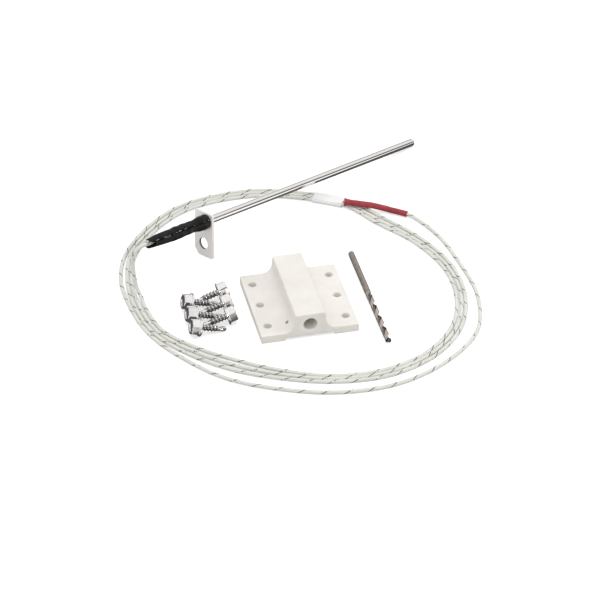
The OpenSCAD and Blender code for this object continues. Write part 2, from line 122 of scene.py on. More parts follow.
def label_point(along, lane):
    across = lane * STRAND_PITCH
    c, s = math.cos(LABEL_TURN), math.sin(LABEL_TURN)
    return (LABEL_SPOT[0] + along * c - across * s, LABEL_SPOT[1] + along * s + across * c, WRAP_Z)


def label_pass(lane):
    return [label_point(along, lane) for along in (LABEL_RUN, 0, -LABEL_RUN)]


BOOT_EXIT = probe_point(BOOT_END)
IN_BOOT = [probe_point(-0.039), BOOT_EXIT, probe_point(-0.0755)]
LEAD_ROUTE = [
    Vector(p) if len(p) == 3 else Vector((p[0], p[1], LIE_Z))
    for p in [
        *IN_BOOT, *DROP, *TURN_1, *label_pass(-1), *LINK_1, *TURN_2, *label_pass(0), *LINK_2,
        *TURN_3, *label_pass(1), *LINK_3, *TURN_4, *RED_ROUTE[:3],
    ]
]


# ---------------------------------------------------------------- curves, rings and meshes


def smooth_route(points, step):
    """A centripetal spline through the points, with a new point about every step."""
    ends = [2 * points[0] - points[1], *points, 2 * points[-1] - points[-2]]
    made = []
    for i in range(1, len(ends) - 2):
        p0, p1, p2, p3 = ends[i - 1:i + 3]
        t1 = (p1 - p0).length ** 0.5
        t2 = t1 + (p2 - p1).length ** 0.5
        t3 = t2 + (p3 - p2).length ** 0.5
        count = max(1, round((p2 - p1).length / step))
        for k in range(count):
            t = t1 + (t2 - t1) * k / count
            a1 = p0.lerp(p1, t / t1)
            a2 = p1.lerp(p2, (t - t1) / (t2 - t1))
            a3 = p2.lerp(p3, (t - t2) / (t3 - t2))
            b1 = a1.lerp(a2, t / t2)
            b2 = a2.lerp(a3, (t - t1) / (t3 - t1))
            made.append(b1.lerp(b2, (t - t1) / (t2 - t1)))
    made.append(points[-1].copy())
    return made


def route_frames(points):
    """The direction and one side vector at each point, carried along without a twist."""
    ways = []
    for i in range(len(points)):
        a, b = points[max(0, i - 1)], points[min(len(points) - 1, i + 1)]
        ways.append((b - a).normalized())
    side = Vector((0.3, -0.6, 0.7))
    made = []
    for way in ways:
        side = (side - side.dot(way) * way).normalized()
        made.append((way, side))
    return made


def distances(points):
    """How far along its run each point lies."""
    run = [0.0]
    for a, b in zip(points, points[1:]):
        run.append(run[-1] + (b - a).length)
    return run


def skin(name, rings, closed=False, cap_first=True, runs=None):
    """A mesh from rings of points of one count. closed joins the last ring to the first.
    UVs go once round a ring, and along the rings in metres."""
    sides, count = len(rings[0]), len(rings)
    verts = [tuple(p) for ring in rings for p in ring]
    faces, uvs = [], []
    if runs is None:
        runs = distances([sum((Vector(p) for p in ring), Vector()) / sides for ring in rings])
    for i in range(count if closed else count - 1):
        a, b = i * sides, (i + 1) % count * sides
        v0, v1 = runs[i], runs[i + 1] if i + 1 < count else runs[i]
        for k in range(sides):
            j = (k + 1) % sides
            faces.append((a + k, a + j, b + j, b + k))
            uvs += [(k / sides, v0), ((k + 1) / sides, v0), ((k + 1) / sides, v1), (k / sides, v1)]
    if not closed and cap_first:
        faces.append(tuple(range(sides - 1, -1, -1)))
        uvs += [(k / sides, runs[0]) for k in range(sides - 1, -1, -1)]
    if not closed:
        faces.append(tuple(range((count - 1) * sides, count * sides)))
        uvs += [(k / sides, runs[-1]) for k in range(sides)]
    mesh = bpy.data.meshes.new(name)
    mesh.from_pydata(verts, [], faces)
    layer = mesh.uv_layers.new(name="UVMap")
    for loop, uv in zip(layer.data, uvs):
        loop.uv = uv
    mesh.update()
    return mesh


def ring_about(centre, way, side, radius, sides):
    """A ring of points square to a direction. radius is a number or a function of the angle."""
    other = way.cross(side)
    made = []
    for k in range(sides):
        a = TAU * k / sides
        r = radius(a) if callable(radius) else radius
        made.append(centre + r * (math.cos(a) * side + math.sin(a) * other))
    return made


def revolved(name, profile, sides, matrix, closed=True):
    """A turned solid about the local X axis, from (station, radius) points."""
    turns = [TAU * k / sides for k in range(sides)]
    rings = [
        [matrix @ Vector((x, r * math.cos(a), r * math.sin(a))) for a in turns] for x, r in profile
    ]
    runs = distances([Vector((x, r, 0)) for x, r in profile])
    return skin(name, rings, closed=closed, runs=runs)


def welded(mesh):
    """The mesh with its points at a pole made one, and no face without area."""
    work = bmesh.new()
    work.from_mesh(mesh)
    bmesh.ops.remove_doubles(work, verts=work.verts, dist=1e-7)
    bmesh.ops.dissolve_degenerate(work, edges=work.edges, dist=1e-8)
    bmesh.ops.recalc_face_normals(work, faces=work.faces)
    work.to_mesh(mesh)
    work.free()
    return mesh


def piece(name, mesh, body, material, nodes, sharp=35.0):
    """Adds a mesh as a piece that rides on a body and stands for CAD nodes. Its edges that turn
    more than the sharp angle, in degrees, stay sharp."""
    mesh.shade_smooth()
    mesh.set_sharp_from_angle(angle=math.radians(sharp))
    mesh.materials.clear()
    mesh.materials.append(material)
    made = bpy.data.objects.new(name, mesh)
    bpy.context.scene.collection.objects.link(made)
    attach(made, body)
    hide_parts(*nodes)
    return made


def paint(mesh, material, inside):
    """Puts one more material on the faces whose middles pass a test."""
    mesh.materials.append(material)
    number = len(mesh.materials) - 1
    for face in mesh.polygons:
        if inside(face.center):
            face.material_index = number


def settled(thing):
    """A new mesh of an object with its modifiers applied; the object is removed."""
    bpy.context.view_layer.update()
    graph = bpy.context.evaluated_depsgraph_get()
    mesh = bpy.data.meshes.new_from_object(thing.evaluated_get(graph))
    old = thing.data
    bpy.data.objects.remove(thing)
    if old.users == 0 and isinstance(old, bpy.types.Mesh):
        bpy.data.meshes.remove(old)
    return mesh


def smoothstep(low, high, x):
    t = min(1.0, max(0.0, (x - low) / (high - low)))
    return t * t * (3 - 2 * t)


def along_table(table, x):
    """The value at x on a table of (x, value) rows, with straight lines between them."""
    for (x0, v0), (x1, v1) in zip(table, table[1:]):
        if x <= x1:
            return v0 + (v1 - v0) * max(0.0, (x - x0) / (x1 - x0))
    return table[-1][1]


# ---------------------------------------------------------------- shader node groups and materials


class Nodes:
    """Adds nodes to one tree."""

    def __init__(self, tree):
        self.tree = tree

    def feed(self, node, **inputs):
        """Sets or links inputs. A name's underscores stand for spaces, and in_0 is input 0."""
        for key, value in inputs.items():
            name = int(key[3:]) if key.startswith("in_") else key.replace("_", " ")
            socket = node.inputs[name]
            if isinstance(value, bpy.types.NodeSocket):
                self.tree.links.new(value, socket)
            else:
                socket.default_value = value
        return node

    def add(self, kind, **given):
        """A node. Names in small letters are its own settings, and the others are its inputs."""
        node = self.tree.nodes.new("ShaderNode" + kind)
        for key, value in given.items():
            if key[0].isupper() or key.startswith("in_"):
                self.feed(node, **{key: value})
            else:
                setattr(node, key, value)
        return node

    def calc(self, operation, a, b=0.0, clamp=False):
        return self.add("Math", operation=operation, use_clamp=clamp, in_0=a, in_1=b).outputs[0]

    def noise(self, where, scale, detail):
        return self.add("TexNoise", Vector=where, Scale=scale, Detail=detail).outputs[0]

    def span(self, value, low, high):
        """A number that goes from low to high as the value goes from 0 to 1."""
        return self.add("MapRange", Value=value, To_Min=low, To_Max=high).outputs[0]

    def spread(self, value):
        """A noise value stretched to the whole way from 0 to 1."""
        return self.add("MapRange", Value=value, From_Min=0.3, From_Max=0.7).outputs[0]

    def step(self, value, start, end):
        """A soft step from 0 to 1 as the value goes from start to end."""
        return self.add(
            "MapRange", interpolation_type="SMOOTHSTEP", Value=value, From_Min=start, From_Max=end
        ).outputs[0]


class Group(Nodes):
    """A new node group with float inputs of (name, default) and float outputs."""

    def __init__(self, name, inputs, outputs):
        super().__init__(bpy.data.node_groups.new(name, "ShaderNodeTree"))
        for label, default in inputs:
            self.add_socket(label, "INPUT").default_value = default
        for label in outputs:
            self.add_socket(label, "OUTPUT")
        self.given = self.tree.nodes.new("NodeGroupInput").outputs
        self.out = self.tree.nodes.new("NodeGroupOutput").inputs

    def add_socket(self, label, in_out):
        interface = self.tree.interface
        return interface.new_socket(label, in_out=in_out, socket_type="NodeSocketFloat")

    def give(self, label, value):
        self.tree.links.new(value, self.out[label])

    def place_on_object(self):
        return self.add("TexCoord").outputs["Object"]

    def uv_parts(self):
        """The UV map's two numbers: once round the piece, and metres along it."""
        uv = self.add("UVMap", uv_map="UVMap").outputs[0]
        return self.add("SeparateXYZ", in_0=uv).outputs[:2]


# Pointiness is 0.5 on a flat face; an edge counts as sharp from a little above that.
FLAT_POINTINESS = 0.53
# The share of the cells of the pores that stay whole.
PLAIN_CELLS = 0.72


def group_fine_grain():
    """Even mottling in the object's own space, for cast, moulded and rolled surfaces."""
    g = Group("fine_grain", [("Cloud Scale", 60.0), ("Grain Scale", 1500.0)], ["Cloud", "Grain"])
    where = g.place_on_object()
    for label, detail in (("Cloud", 3.0), ("Grain", 2.0)):
        g.give(label, g.spread(g.noise(where, g.given[f"{label} Scale"], detail)))
    return g.tree


def group_drawn_lines():
    """Fine lines along a turned piece, which follow its UVs."""
    g = Group("drawn_lines", [("Around", 40.0), ("Along", 25.0)], ["Lines", "Patches"])
    u, v = g.uv_parts()
    angle = g.calc("MULTIPLY", u, TAU)
    joined = g.add(
        "CombineXYZ",
        X=g.calc("MULTIPLY", g.calc("COSINE", angle), g.given["Around"]),
        Y=g.calc("MULTIPLY", g.calc("SINE", angle), g.given["Around"]),
        Z=g.calc("MULTIPLY", v, g.given["Along"]),
    ).outputs[0]
    for label, scale in (("Lines", 1.0), ("Patches", 0.12)):
        g.give(label, g.spread(g.noise(joined, scale, 3.0)))
    return g.tree


def group_braid():
    """Over-and-under braid on a tube, with one tracer yarn that winds round it."""
    g = Group(
        "braid",
        [("Carriers", 8.0), ("Picks", 0.0022), ("Tracer Lay", 0.019), ("Tracer Width", 0.1)],
        ["Height", "Gap", "Tracer"],
    )
    u, v = g.uv_parts()
    turns = g.calc("MULTIPLY", u, g.given["Carriers"])
    picks = g.calc("DIVIDE", v, g.given["Picks"])
    right, left = (
        g.calc("SINE", g.calc("MULTIPLY", g.calc(way, turns, picks), TAU))
        for way in ("ADD", "SUBTRACT")
    )
    crossing = g.calc("ADD", g.calc("MULTIPLY", right, left), 1.0)
    height = g.calc("MULTIPLY", crossing, 0.5)
    g.give("Height", height)
    # Gap is 1 in the low parts between the yarns, where the materials paint shade.
    g.give("Gap", g.step(height, 0.28, 0.02))

    wound = g.calc("FRACT", g.calc("ADD", u, g.calc("DIVIDE", v, g.given["Tracer Lay"])))
    off = g.calc("ABSOLUTE", g.calc("SUBTRACT", wound, 0.5))
    inside = g.calc("LESS_THAN", off, g.calc("MULTIPLY", g.given["Tracer Width"], 0.5))
    worn = g.add("TexNoise", noise_dimensions="1D", W=v, Scale=260.0, Detail=1.0).outputs[0]
    shown = g.calc("MULTIPLY", g.step(left, -0.75, -0.35), g.step(worn, 0.4, 0.46))
    g.give("Tracer", g.calc("MULTIPLY", inside, shown))
    return g.tree


def group_edge_wear():
    """A mask that is 1 on sharp outer edges, broken up by noise."""
    g = Group("edge_wear", [("Sharpness", 12.0), ("Patch Scale", 400.0)], ["Mask"])
    edge = g.calc("SUBTRACT", g.add("NewGeometry").outputs["Pointiness"], FLAT_POINTINESS)
    raised = g.calc("MULTIPLY", edge, g.given["Sharpness"], True)
    patches = g.noise(g.place_on_object(), g.given["Patch Scale"], 3.0)
    g.give("Mask", g.calc("MULTIPLY", raised, g.calc("MULTIPLY", patches, 1.6), True))
    return g.tree


def group_pores():
    """Scattered small spots with dimples, for fired clay, cement and pickled sheet."""
    g = Group("pores", [("Scale", 260.0), ("Size", 0.1)], ["Spot", "Dimple"])
    cells = g.add(
        "TexVoronoi", Vector=g.place_on_object(), Scale=g.given["Scale"], Randomness=1.0
    ).outputs
    shade_of_cell = g.add("SeparateColor", in_0=cells["Color"]).outputs[0]
    chosen = g.calc("GREATER_THAN", shade_of_cell, PLAIN_CELLS)
    mask = g.calc("MULTIPLY", g.step(cells["Distance"], g.given["Size"], 0.0), chosen)
    g.give("Spot", mask)
    g.give("Dimple", g.calc("SUBTRACT", 1.0, mask))
    return g.tree


EFFECTS = {
    "fine_grain": group_fine_grain,
    "drawn_lines": group_drawn_lines,
    "braid": group_braid,
    "edge_wear": group_edge_wear,
    "pores": group_pores,
}
GROUPS = {}


class Finish(Nodes):
    """One material: a Principled shader, with helpers that put varying inputs on it."""

    def __init__(self, name, **sockets):
        self.material = bpy.data.materials.new(name)
        self.material.use_nodes = True
        super().__init__(self.material.node_tree)
        self.shader = self.tree.nodes["Principled BSDF"]
        self.normal = None
        self.put(**sockets)

    def put(self, **sockets):
        self.feed(self.shader, **sockets)

    def effect(self, name, **inputs):
        """Places a shared node group, built the first time it is asked for."""
        if name not in GROUPS:
            GROUPS[name] = EFFECTS[name]()
        return self.add("Group", node_tree=GROUPS[name], **inputs).outputs

    def mix(self, factor, low, high):
        """A colour between two colours or sockets."""
        low, high = (
            value if isinstance(value, bpy.types.NodeSocket) else (*value, 1.0)
            for value in (low, high)
        )
        return self.add("Mix", data_type="RGBA", in_0=factor, in_6=low, in_7=high).outputs[2]

    def bump(self, height, distance):
        """Adds a layer of bump on top of the ones before it."""
        node = self.add("Bump", Height=height, Distance=distance, Strength=1.0)
        if self.normal is not None:
            self.feed(node, Normal=self.normal)
        self.normal = node.outputs[0]
        self.put(Normal=self.normal)

    def done(self, tint, value, low, high, *bumps):
        """The material, with its colour, a roughness that goes from low to high with a value,
        and layers of bump, each given by its height and distance."""
        self.put(Base_Color=tint, Roughness=self.span(value, low, high))
        for height, distance in bumps:
            self.bump(height, distance)
        return self.material


def toned(colour, *share):
    """A colour times one share, or times a share for each of its three parts."""
    shares = share if len(share) == 3 else share * 3
    return tuple(min(1.0, c * k) for c, k in zip(colour, shares))


def make_cast_ceramic(name, colour):
    """Fired, unglazed clay body: chalky cream with faint clouds, specks and a cast skin."""
    f = Finish(name, Roughness=0.6, Specular_IOR_Level=0.35)
    grain = f.effect("fine_grain", Cloud_Scale=45.0, Grain_Scale=1400.0)
    pores = f.effect("pores", Scale=420.0, Size=0.16)
    dark = toned(colour, 0.93, 0.92, 0.905)
    clouded = f.mix(grain["Cloud"], dark, colour)
    specked = f.mix(pores["Spot"], clouded, toned(dark, 0.72))
    return f.done(
        specked, grain["Grain"], 0.5, 0.7, (grain["Grain"], 0.00006), (pores["Dimple"], 0.0002)
    )


def make_polished_steel(colour, roughness):
    """Bright drawn stainless tube: mirror-like with hair lines along it."""
    f = Finish("polished_steel", Metallic=1.0, Roughness=roughness)
    lines = f.effect("drawn_lines", Around=60.0, Along=40.0)
    tint = f.mix(lines["Patches"], toned(colour, 0.93), colour)
    return f.done(
        tint, lines["Lines"], roughness * 0.75, roughness * 1.3, (lines["Lines"], 0.000002)
    )


def make_plate_steel(name, colour):
    """Pickled sheet steel: soft grey with a fine even grain, bright on its worn edges."""
    f = Finish(name, Metallic=0.12, Roughness=0.42)
    grain = f.effect("fine_grain", Cloud_Scale=90.0, Grain_Scale=2600.0)
    wear = f.effect("edge_wear", Sharpness=10.0, Patch_Scale=500.0)
    specks = f.effect("pores", Scale=360.0, Size=0.13)
    sheet = f.mix(grain["Cloud"], toned(colour, 0.94), colour)
    sheet = f.mix(specks["Spot"], sheet, toned(colour, 0.5))
    worn = f.mix(wear["Mask"], sheet, toned(colour, 1.08))
    return f.done(worn, grain["Grain"], 0.36, 0.52, (grain["Grain"], 0.00003))


def make_black_shrink(colour):
    """Shrunk polyolefin tubing: black and slick, with soft wrinkles."""
    f = Finish("black_shrink", Roughness=0.13, Specular_IOR_Level=0.18)
    grain = f.effect("fine_grain", Cloud_Scale=120.0, Grain_Scale=1100.0)
    faded = [min(1.0, c * 2.2 + 0.004) for c in colour]
    tint = f.mix(grain["Cloud"], colour, faded)
    return f.done(tint, grain["Cloud"], 0.1, 0.16, (grain["Cloud"], 0.00001))


def make_glass_braid(colour, tracer, lay):
    """Braided glass yarn over the lead, with a dark tracer yarn."""
    f = Finish("glass_braid", Roughness=0.62)
    braid = f.effect("braid", Carriers=6.0, Picks=0.0026, Tracer_Lay=lay, Tracer_Width=0.11)
    grain = f.effect("fine_grain", Cloud_Scale=55.0, Grain_Scale=3500.0)
    yarn = f.mix(grain["Cloud"], toned(colour, 0.92), colour)
    # Painted shade: the gaps between the yarns get a darker copy of the yarn colour.
    woven = f.mix(braid["Gap"], yarn, toned(colour, 0.6))
    traced = f.mix(braid["Tracer"], woven, tracer)
    return f.done(
        traced, grain["Grain"], 0.5, 0.75, (braid["Height"], 0.0003), (grain["Grain"], 0.00006)
    )


def make_white_wrap(colour):
    """Matt white film wound round the strands."""
    f = Finish("white_wrap", Roughness=0.45)
    grain = f.effect("fine_grain", Cloud_Scale=120.0, Grain_Scale=1800.0)
    tint = f.mix(grain["Cloud"], toned(colour, 0.96), colour)
    return f.done(tint, grain["Grain"], 0.38, 0.55, (grain["Cloud"], 0.0003))


def make_red_sleeving(colour):
    """Red varnished glass sleeving: a close weave under a soft sheen."""
    f = Finish("red_sleeving", Roughness=0.5, Sheen_Weight=0.15, Sheen_Roughness=0.5)
    braid = f.effect("braid", Carriers=12.0, Picks=0.0018, Tracer_Lay=0.05, Tracer_Width=0.0)
    grain = f.effect("fine_grain", Cloud_Scale=110.0, Grain_Scale=2400.0)
    cloth = f.mix(grain["Cloud"], toned(colour, 0.66), toned(colour, 1.12))
    # Painted shade: the gaps between the yarns get a darker copy of the sleeve colour.
    woven = f.mix(braid["Gap"], cloth, toned(colour, 0.62))
    return f.done(woven, grain["Grain"], 0.42, 0.6, (braid["Height"], 0.00016))


def make_bronze_steel(name, colour, low_rough, high_rough):
    """Tempered high-speed steel: bronze oxide with grinding lines and rubbed edges."""
    f = Finish(name, Metallic=1.0, Roughness=high_rough)
    lines = f.effect("drawn_lines", Around=30.0, Along=260.0)
    wear = f.effect("edge_wear", Sharpness=9.0, Patch_Scale=700.0)
    bloom = f.effect("fine_grain", Cloud_Scale=170.0, Grain_Scale=2600.0)
    oxide = f.mix(lines["Patches"], toned(colour, 0.62), colour)
    tempered = f.mix(bloom["Cloud"], oxide, toned(colour, 1.16, 1.06, 1.02))
    rubbed = f.mix(wear["Mask"], tempered, (0.78, 0.72, 0.7))
    return f.done(rubbed, lines["Lines"], low_rough, high_rough, (lines["Lines"], 0.00001))


def make_zinc_steel(name, colour):
    """Bright zinc plate on rolled and headed steel."""
    f = Finish(name, Metallic=1.0, Roughness=0.12)
    grain = f.effect("fine_grain", Cloud_Scale=380.0, Grain_Scale=3000.0)
    wear = f.effect("edge_wear", Sharpness=8.0, Patch_Scale=900.0)
    plate = f.mix(grain["Cloud"], toned(colour, 0.88), colour)
    worn = f.mix(wear["Mask"], plate, toned(colour, 1.06))
    return f.done(worn, grain["Grain"], 0.08, 0.18, (grain["Cloud"], 0.00001))


def make_inner(name, colour, metallic, roughness, pore):
    """A hidden piece's own metal, clay or cement."""
    f = Finish(name, Metallic=metallic, Roughness=roughness)
    grain = f.effect("fine_grain", Cloud_Scale=300.0, Grain_Scale=2600.0)
    tint = f.mix(grain["Cloud"], toned(colour, 0.82), colour)
    if pore:
        spots = f.effect("pores", Scale=1200.0, Size=pore)
        tint = f.mix(spots["Spot"], tint, toned(colour, 0.6))
        f.bump(spots["Dimple"], 0.0001)
    return f.done(
        tint, grain["Grain"], roughness * 0.85, roughness * 1.15, (grain["Grain"], 0.00002)
    )


# ---------------------------------------------------------------- settings


def length(name, description, default, low, high):
    return bpy.props.FloatProperty(
        name=name, description=description, default=default, min=low, max=high,
        unit="LENGTH", subtype="DISTANCE", precision=5,
    )


def colour(name, description, default):
    return bpy.props.FloatVectorProperty(
        name=name, description=description, default=default, size=3, min=0.0, max=1.0,
        subtype="COLOR",
    )


def share(name, description, default, low=0.0, high=1.0):
    return bpy.props.FloatProperty(
        name=name, description=description, default=default, min=low, max=high
    )


class ProbeStageSettings(bpy.types.PropertyGroup):
    azimuth: bpy.props.FloatProperty(
        name="Azimuth", description="Turn of the camera about the table, from the +Y direction",
        default=math.radians(-12.88), subtype="ANGLE",
    )
    elevation: bpy.props.FloatProperty(
        name="Elevation", description="Height of the camera above the horizon",
        default=math.radians(36.1), subtype="ANGLE",
    )
    distance: length("Distance", "From the camera to the block's middle", 2.125, 1.0, 5.0)
    focal: bpy.props.FloatProperty(
        name="Focal length", description="Focal length of the lens, in millimetres",
        default=150.0, min=50.0, max=300.0,
    )
    floor: colour("Floor", "Colour of the table", (0.8, 0.8, 0.795))
    floor_glow: share("Floor glow", "Light that lifts the table's colour to white", 0.52)
    sky: share("Sky", "Strength of the soft light from overhead", 1.31, 0.0, 2.0)
    key: bpy.props.FloatProperty(
        name="Key light", description="Power of the lamp that puts the glints on black and metal",
        default=2.2, min=0.0, max=100.0, unit="POWER",
    )


class ProbeLeadSettings(bpy.types.PropertyGroup):
    diameter: length("Diameter", "Diameter of the braided lead", 0.0034, 0.002, 0.006)
    yarn: colour("Yarn", "Colour of the glass braid", (0.965, 0.965, 0.9))
    tracer: colour("Tracer", "Colour of the tracer yarn", (0.03, 0.06, 0.055))
    tracer_lay: length(
        "Tracer lay", "Length in which the tracer winds once round the lead", 0.019, 0.005, 0.05
    )
    wrap: colour("Label", "Colour of the plain wrap that bundles the strands", (1.0, 1.0, 0.995))
    wrap_length: length("Label length", "Length of the wrap along the strands", 0.028, 0.01, 0.04)
    sleeve: colour("Sleeve", "Colour of the sleeve on the lead's end", (0.52, 0.045, 0.06))


class ProbeRodSettings(bpy.types.PropertyGroup):
    sheath: colour("Sheath", "Colour of the polished tube", (0.86, 0.84, 0.82))
    sheath_roughness: share("Sheath roughness", "Roughness of the polished tube", 0.08)
    plate: colour("Plate", "Colour of the mounting plate", (0.99, 0.965, 0.95))
    plate_edge: length("Plate edge", "Rounding of the plate's edges", 0.00035, 0.0001, 0.0008)
    boot: colour("Boot", "Colour of the shrink boot", (0.004, 0.004, 0.004))
    boot_lumps: length(
        "Boot lumps", "Height of the boot's lumps and wrinkles", 0.00028, 0.0, 0.0008
    )


class ProbeBlockSettings(bpy.types.PropertyGroup):
    clay: colour("Clay", "Colour of the fired clay", (0.93, 0.905, 0.855))
    rounding: bpy.props.IntProperty(
        name="Rounding", description="Passes that soften the cast edges", default=5, min=0, max=30
    )
    voxel: length("Voxel", "Size of the steps of the block's surface", 0.0006, 0.0004, 0.002)
    unevenness: length("Unevenness", "Height of the cast surface's waves", 0.00006, 0.0, 0.0005)


class ProbeHardwareSettings(bpy.types.PropertyGroup):
    zinc: colour("Zinc", "Colour of the screws", (0.95, 0.925, 0.925))
    pitch: length("Thread pitch", "Distance between the screw's threads", 0.003, 0.001, 0.004)
    core: length("Thread core", "Diameter at the foot of the thread", 0.0045, 0.003, 0.006)
    shank: colour("Drill shank", "Colour of the drill's shank", (0.45, 0.418, 0.382))
    flutes: colour("Drill flutes", "Colour of the drill's ground flutes", (0.78, 0.7, 0.66))


# ---------------------------------------------------------------- camera, table and light

TABLE_REACH = 6.0
TABLE_Z = -0.00002
KEY_SPOT = Vector((0.923, -0.306, 0.574))
KEY_AIM = Vector((-0.02, 0.0, 0.0))
KEY_SIZE = 0.1
# Ray lengths and glow of the painted shadow that metal close to the table sees in it.
CONTACT_NEAR, CONTACT_FAR, CONTACT_LEVEL = 0.035, 0.1, 0.1
SKY_LOW = 0.16
SKY_LEAN = 0.16
# What polished metal sees round the sheath: 0 is the horizon in front, 0.5 is overhead and 1 is
# the horizon behind.
STUDIO_LEVELS = [
    (0.0, 0.95), (0.056, 0.9), (0.085, 0.05), (0.2, 0.03), (0.26, 0.7), (0.33, 0.95),
    (0.69, 0.95), (0.77, 0.5), (0.94, 0.5), (1.0, 0.9),
]


def build_stage(s):
    scene = bpy.context.scene
    scene.view_settings.view_transform = "Standard"

    flat = math.cos(s.elevation)
    ahead = Vector(
        (-math.sin(s.azimuth) * flat, math.cos(s.azimuth) * flat, -math.sin(s.elevation))
    )
    lens = bpy.data.cameras.new("camera")
    lens.lens = s.focal
    lens.sensor_width = 36.0
    lens.shift_x, lens.shift_y = 0.00235, 0.0111
    lens.clip_start, lens.clip_end = 0.05, 20.0
    camera = bpy.data.objects.new("camera", lens)
    camera.location = Vector((*BLOCK_SPOT, 0.0)) - s.distance * ahead
    camera.rotation_euler = (math.pi / 2 - s.elevation, 0.0, s.azimuth)
    scene.collection.objects.link(camera)
    scene.camera = camera

    floor_mesh = bpy.data.meshes.new("table")
    corners = [(-1, -1), (1, -1), (1, 1), (-1, 1)]
    floor_mesh.from_pydata(
        [(x * TABLE_REACH, y * TABLE_REACH, TABLE_Z) for x, y in corners], [], [(0, 1, 2, 3)]
    )
    floor_mesh.materials.append(make_table(s))
    floor = bpy.data.objects.new("table", floor_mesh)
    scene.collection.objects.link(floor)

    lamp = bpy.data.lights.new("key_light", "AREA")
    lamp.shape = "RECTANGLE"
    lamp.size = lamp.size_y = KEY_SIZE
    lamp.energy = s.key
    light = bpy.data.objects.new("key_light", lamp)
    light.location = KEY_SPOT
    light.rotation_euler = (KEY_AIM - KEY_SPOT).to_track_quat("-Z", "Y").to_euler()
    scene.collection.objects.link(light)

    make_sky(s)


def make_table(s):
    """A pale matt top that keeps its shadows, and is lifted to white where it is looked at.
    Metal that lies close to it sees a painted shadow: a dark glow in place of the table's lit
    colour."""
    material = bpy.data.materials.new("table")
    material.use_nodes = True
    t = Nodes(material.node_tree)
    t.tree.nodes.clear()
    rays = t.add("LightPath").outputs
    first = t.calc("MAXIMUM", rays["Is Camera Ray"], rays["Is Glossy Ray"])
    looked_at = t.calc("MAXIMUM", first, rays["Is Transmission Ray"])
    matt = t.add("BsdfDiffuse", Color=(*s.floor, 1.0)).outputs[0]
    glow = t.add("Emission", Strength=t.calc("MULTIPLY", looked_at, s.floor_glow)).outputs[0]
    lifted = t.add("AddShader", in_0=matt, in_1=glow).outputs[0]
    # Painted shadow in reflections: glossy rays that reach the table from close by see this dark
    # glow.
    shaded = t.add("Emission", Strength=CONTACT_LEVEL).outputs[0]
    close = t.step(rays["Ray Length"], CONTACT_FAR, CONTACT_NEAR)
    top = t.add(
        "MixShader", in_0=t.calc("MULTIPLY", close, rays["Is Glossy Ray"]),
        in_1=lifted, in_2=shaded,
    ).outputs[0]
    t.add("OutputMaterial", Surface=top)
    return material


def make_sky(s):
    """White where it is looked at. As light it is strongest overhead, fades to the horizon, and is
    a little stronger from the left. Metal sees the studio's levels, which turn about the sheath."""
    world = bpy.data.worlds.new("studio")
    bpy.context.scene.world = world
    world.use_nodes = True
    t = Nodes(world.node_tree)
    t.tree.nodes.clear()
    way = t.add("TexCoord").outputs["Generated"]
    yaw = math.radians(PROBE_YAW)
    behind = t.add(
        "VectorMath", operation="DOT_PRODUCT", in_0=way, in_1=(-math.sin(yaw), math.cos(yaw), 0.0)
    ).outputs["Value"]
    right, _, up = t.add("SeparateXYZ", in_0=way).outputs
    angle = t.calc("DIVIDE", t.calc("ARCTAN2", behind, up), math.pi)
    ramp = t.add("ValToRGB", Fac=t.calc("ADD", angle, 0.5))
    stops = ramp.color_ramp.elements
    while len(stops) < len(STUDIO_LEVELS):
        stops.new(0.5)
    for stop, (at, level) in zip(stops, STUDIO_LEVELS):
        stop.position = at
        stop.color = (level, level, level, 1.0)
    rays = t.add("LightPath").outputs
    tone = t.add(
        "Mix", data_type="RGBA", in_0=rays["Is Glossy Ray"], in_6=(1.0, 1.0, 1.0, 1.0),
        in_7=ramp.outputs[0],
    ).outputs[2]
    height = t.calc("SUBTRACT", up, t.calc("MULTIPLY", right, SKY_LEAN))
    overhead = t.span(height, SKY_LOW * s.sky, s.sky)
    shown = t.calc("MAXIMUM", rays["Is Camera Ray"], rays["Is Transmission Ray"])
    seen = t.calc("MAXIMUM", shown, rays["Is Glossy Ray"])
    strength = t.add("Mix", in_0=seen, in_2=overhead, in_3=1.0).outputs[0]
    sky = t.add("Background", Color=tone, Strength=strength).outputs[0]
    t.add("OutputWorld", Surface=sky)


# ---------------------------------------------------------------- the lead and what is on it

LEAD_STEP, LEAD_SIDES = 0.0022, 12
LABEL_HALF_WIDE, LABEL_HALF_HIGH = 0.0064, 0.0023
LABEL_SIDES, LABEL_STEPS = 64, 28
FILM, FILM_PLAY = 0.0004, 0.00002
SLEEVE_STEP, SLEEVE_SIDES = 0.0012, 28
SLEEVE_R, SLEEVE_WALL = 0.0027, 0.00055


def build_lead(s):
    """The braided lead in two pieces, inside the boot and free of it, and the free one's route."""
    radius = s.diameter / 2
    line = [
        Vector((p.x, p.y, max(p.z, radius))) for p in smooth_route(LEAD_ROUTE, LEAD_STEP)
    ]
    rings = [
        ring_about(p, way, side, radius, LEAD_SIDES)
        for p, (way, side) in zip(line, route_frames(line))
    ]
    run = distances(line)
    start = min(range(len(line)), key=lambda i: (line[i] - BOOT_EXIT).length)
    braid = make_glass_braid(s.yarn, s.tracer, s.tracer_lay)
    tail = skin("lead_in_boot", rings[:start + 1], runs=run[:start + 1])
    piece("lead_in_boot", tail, "probe", braid, ["lead_cable"])
    free = skin("lead", rings[start:], runs=run[start:])
    lead = piece("lead", free, "probe", braid, ["lead_cable"])
    return lead, line[start:]


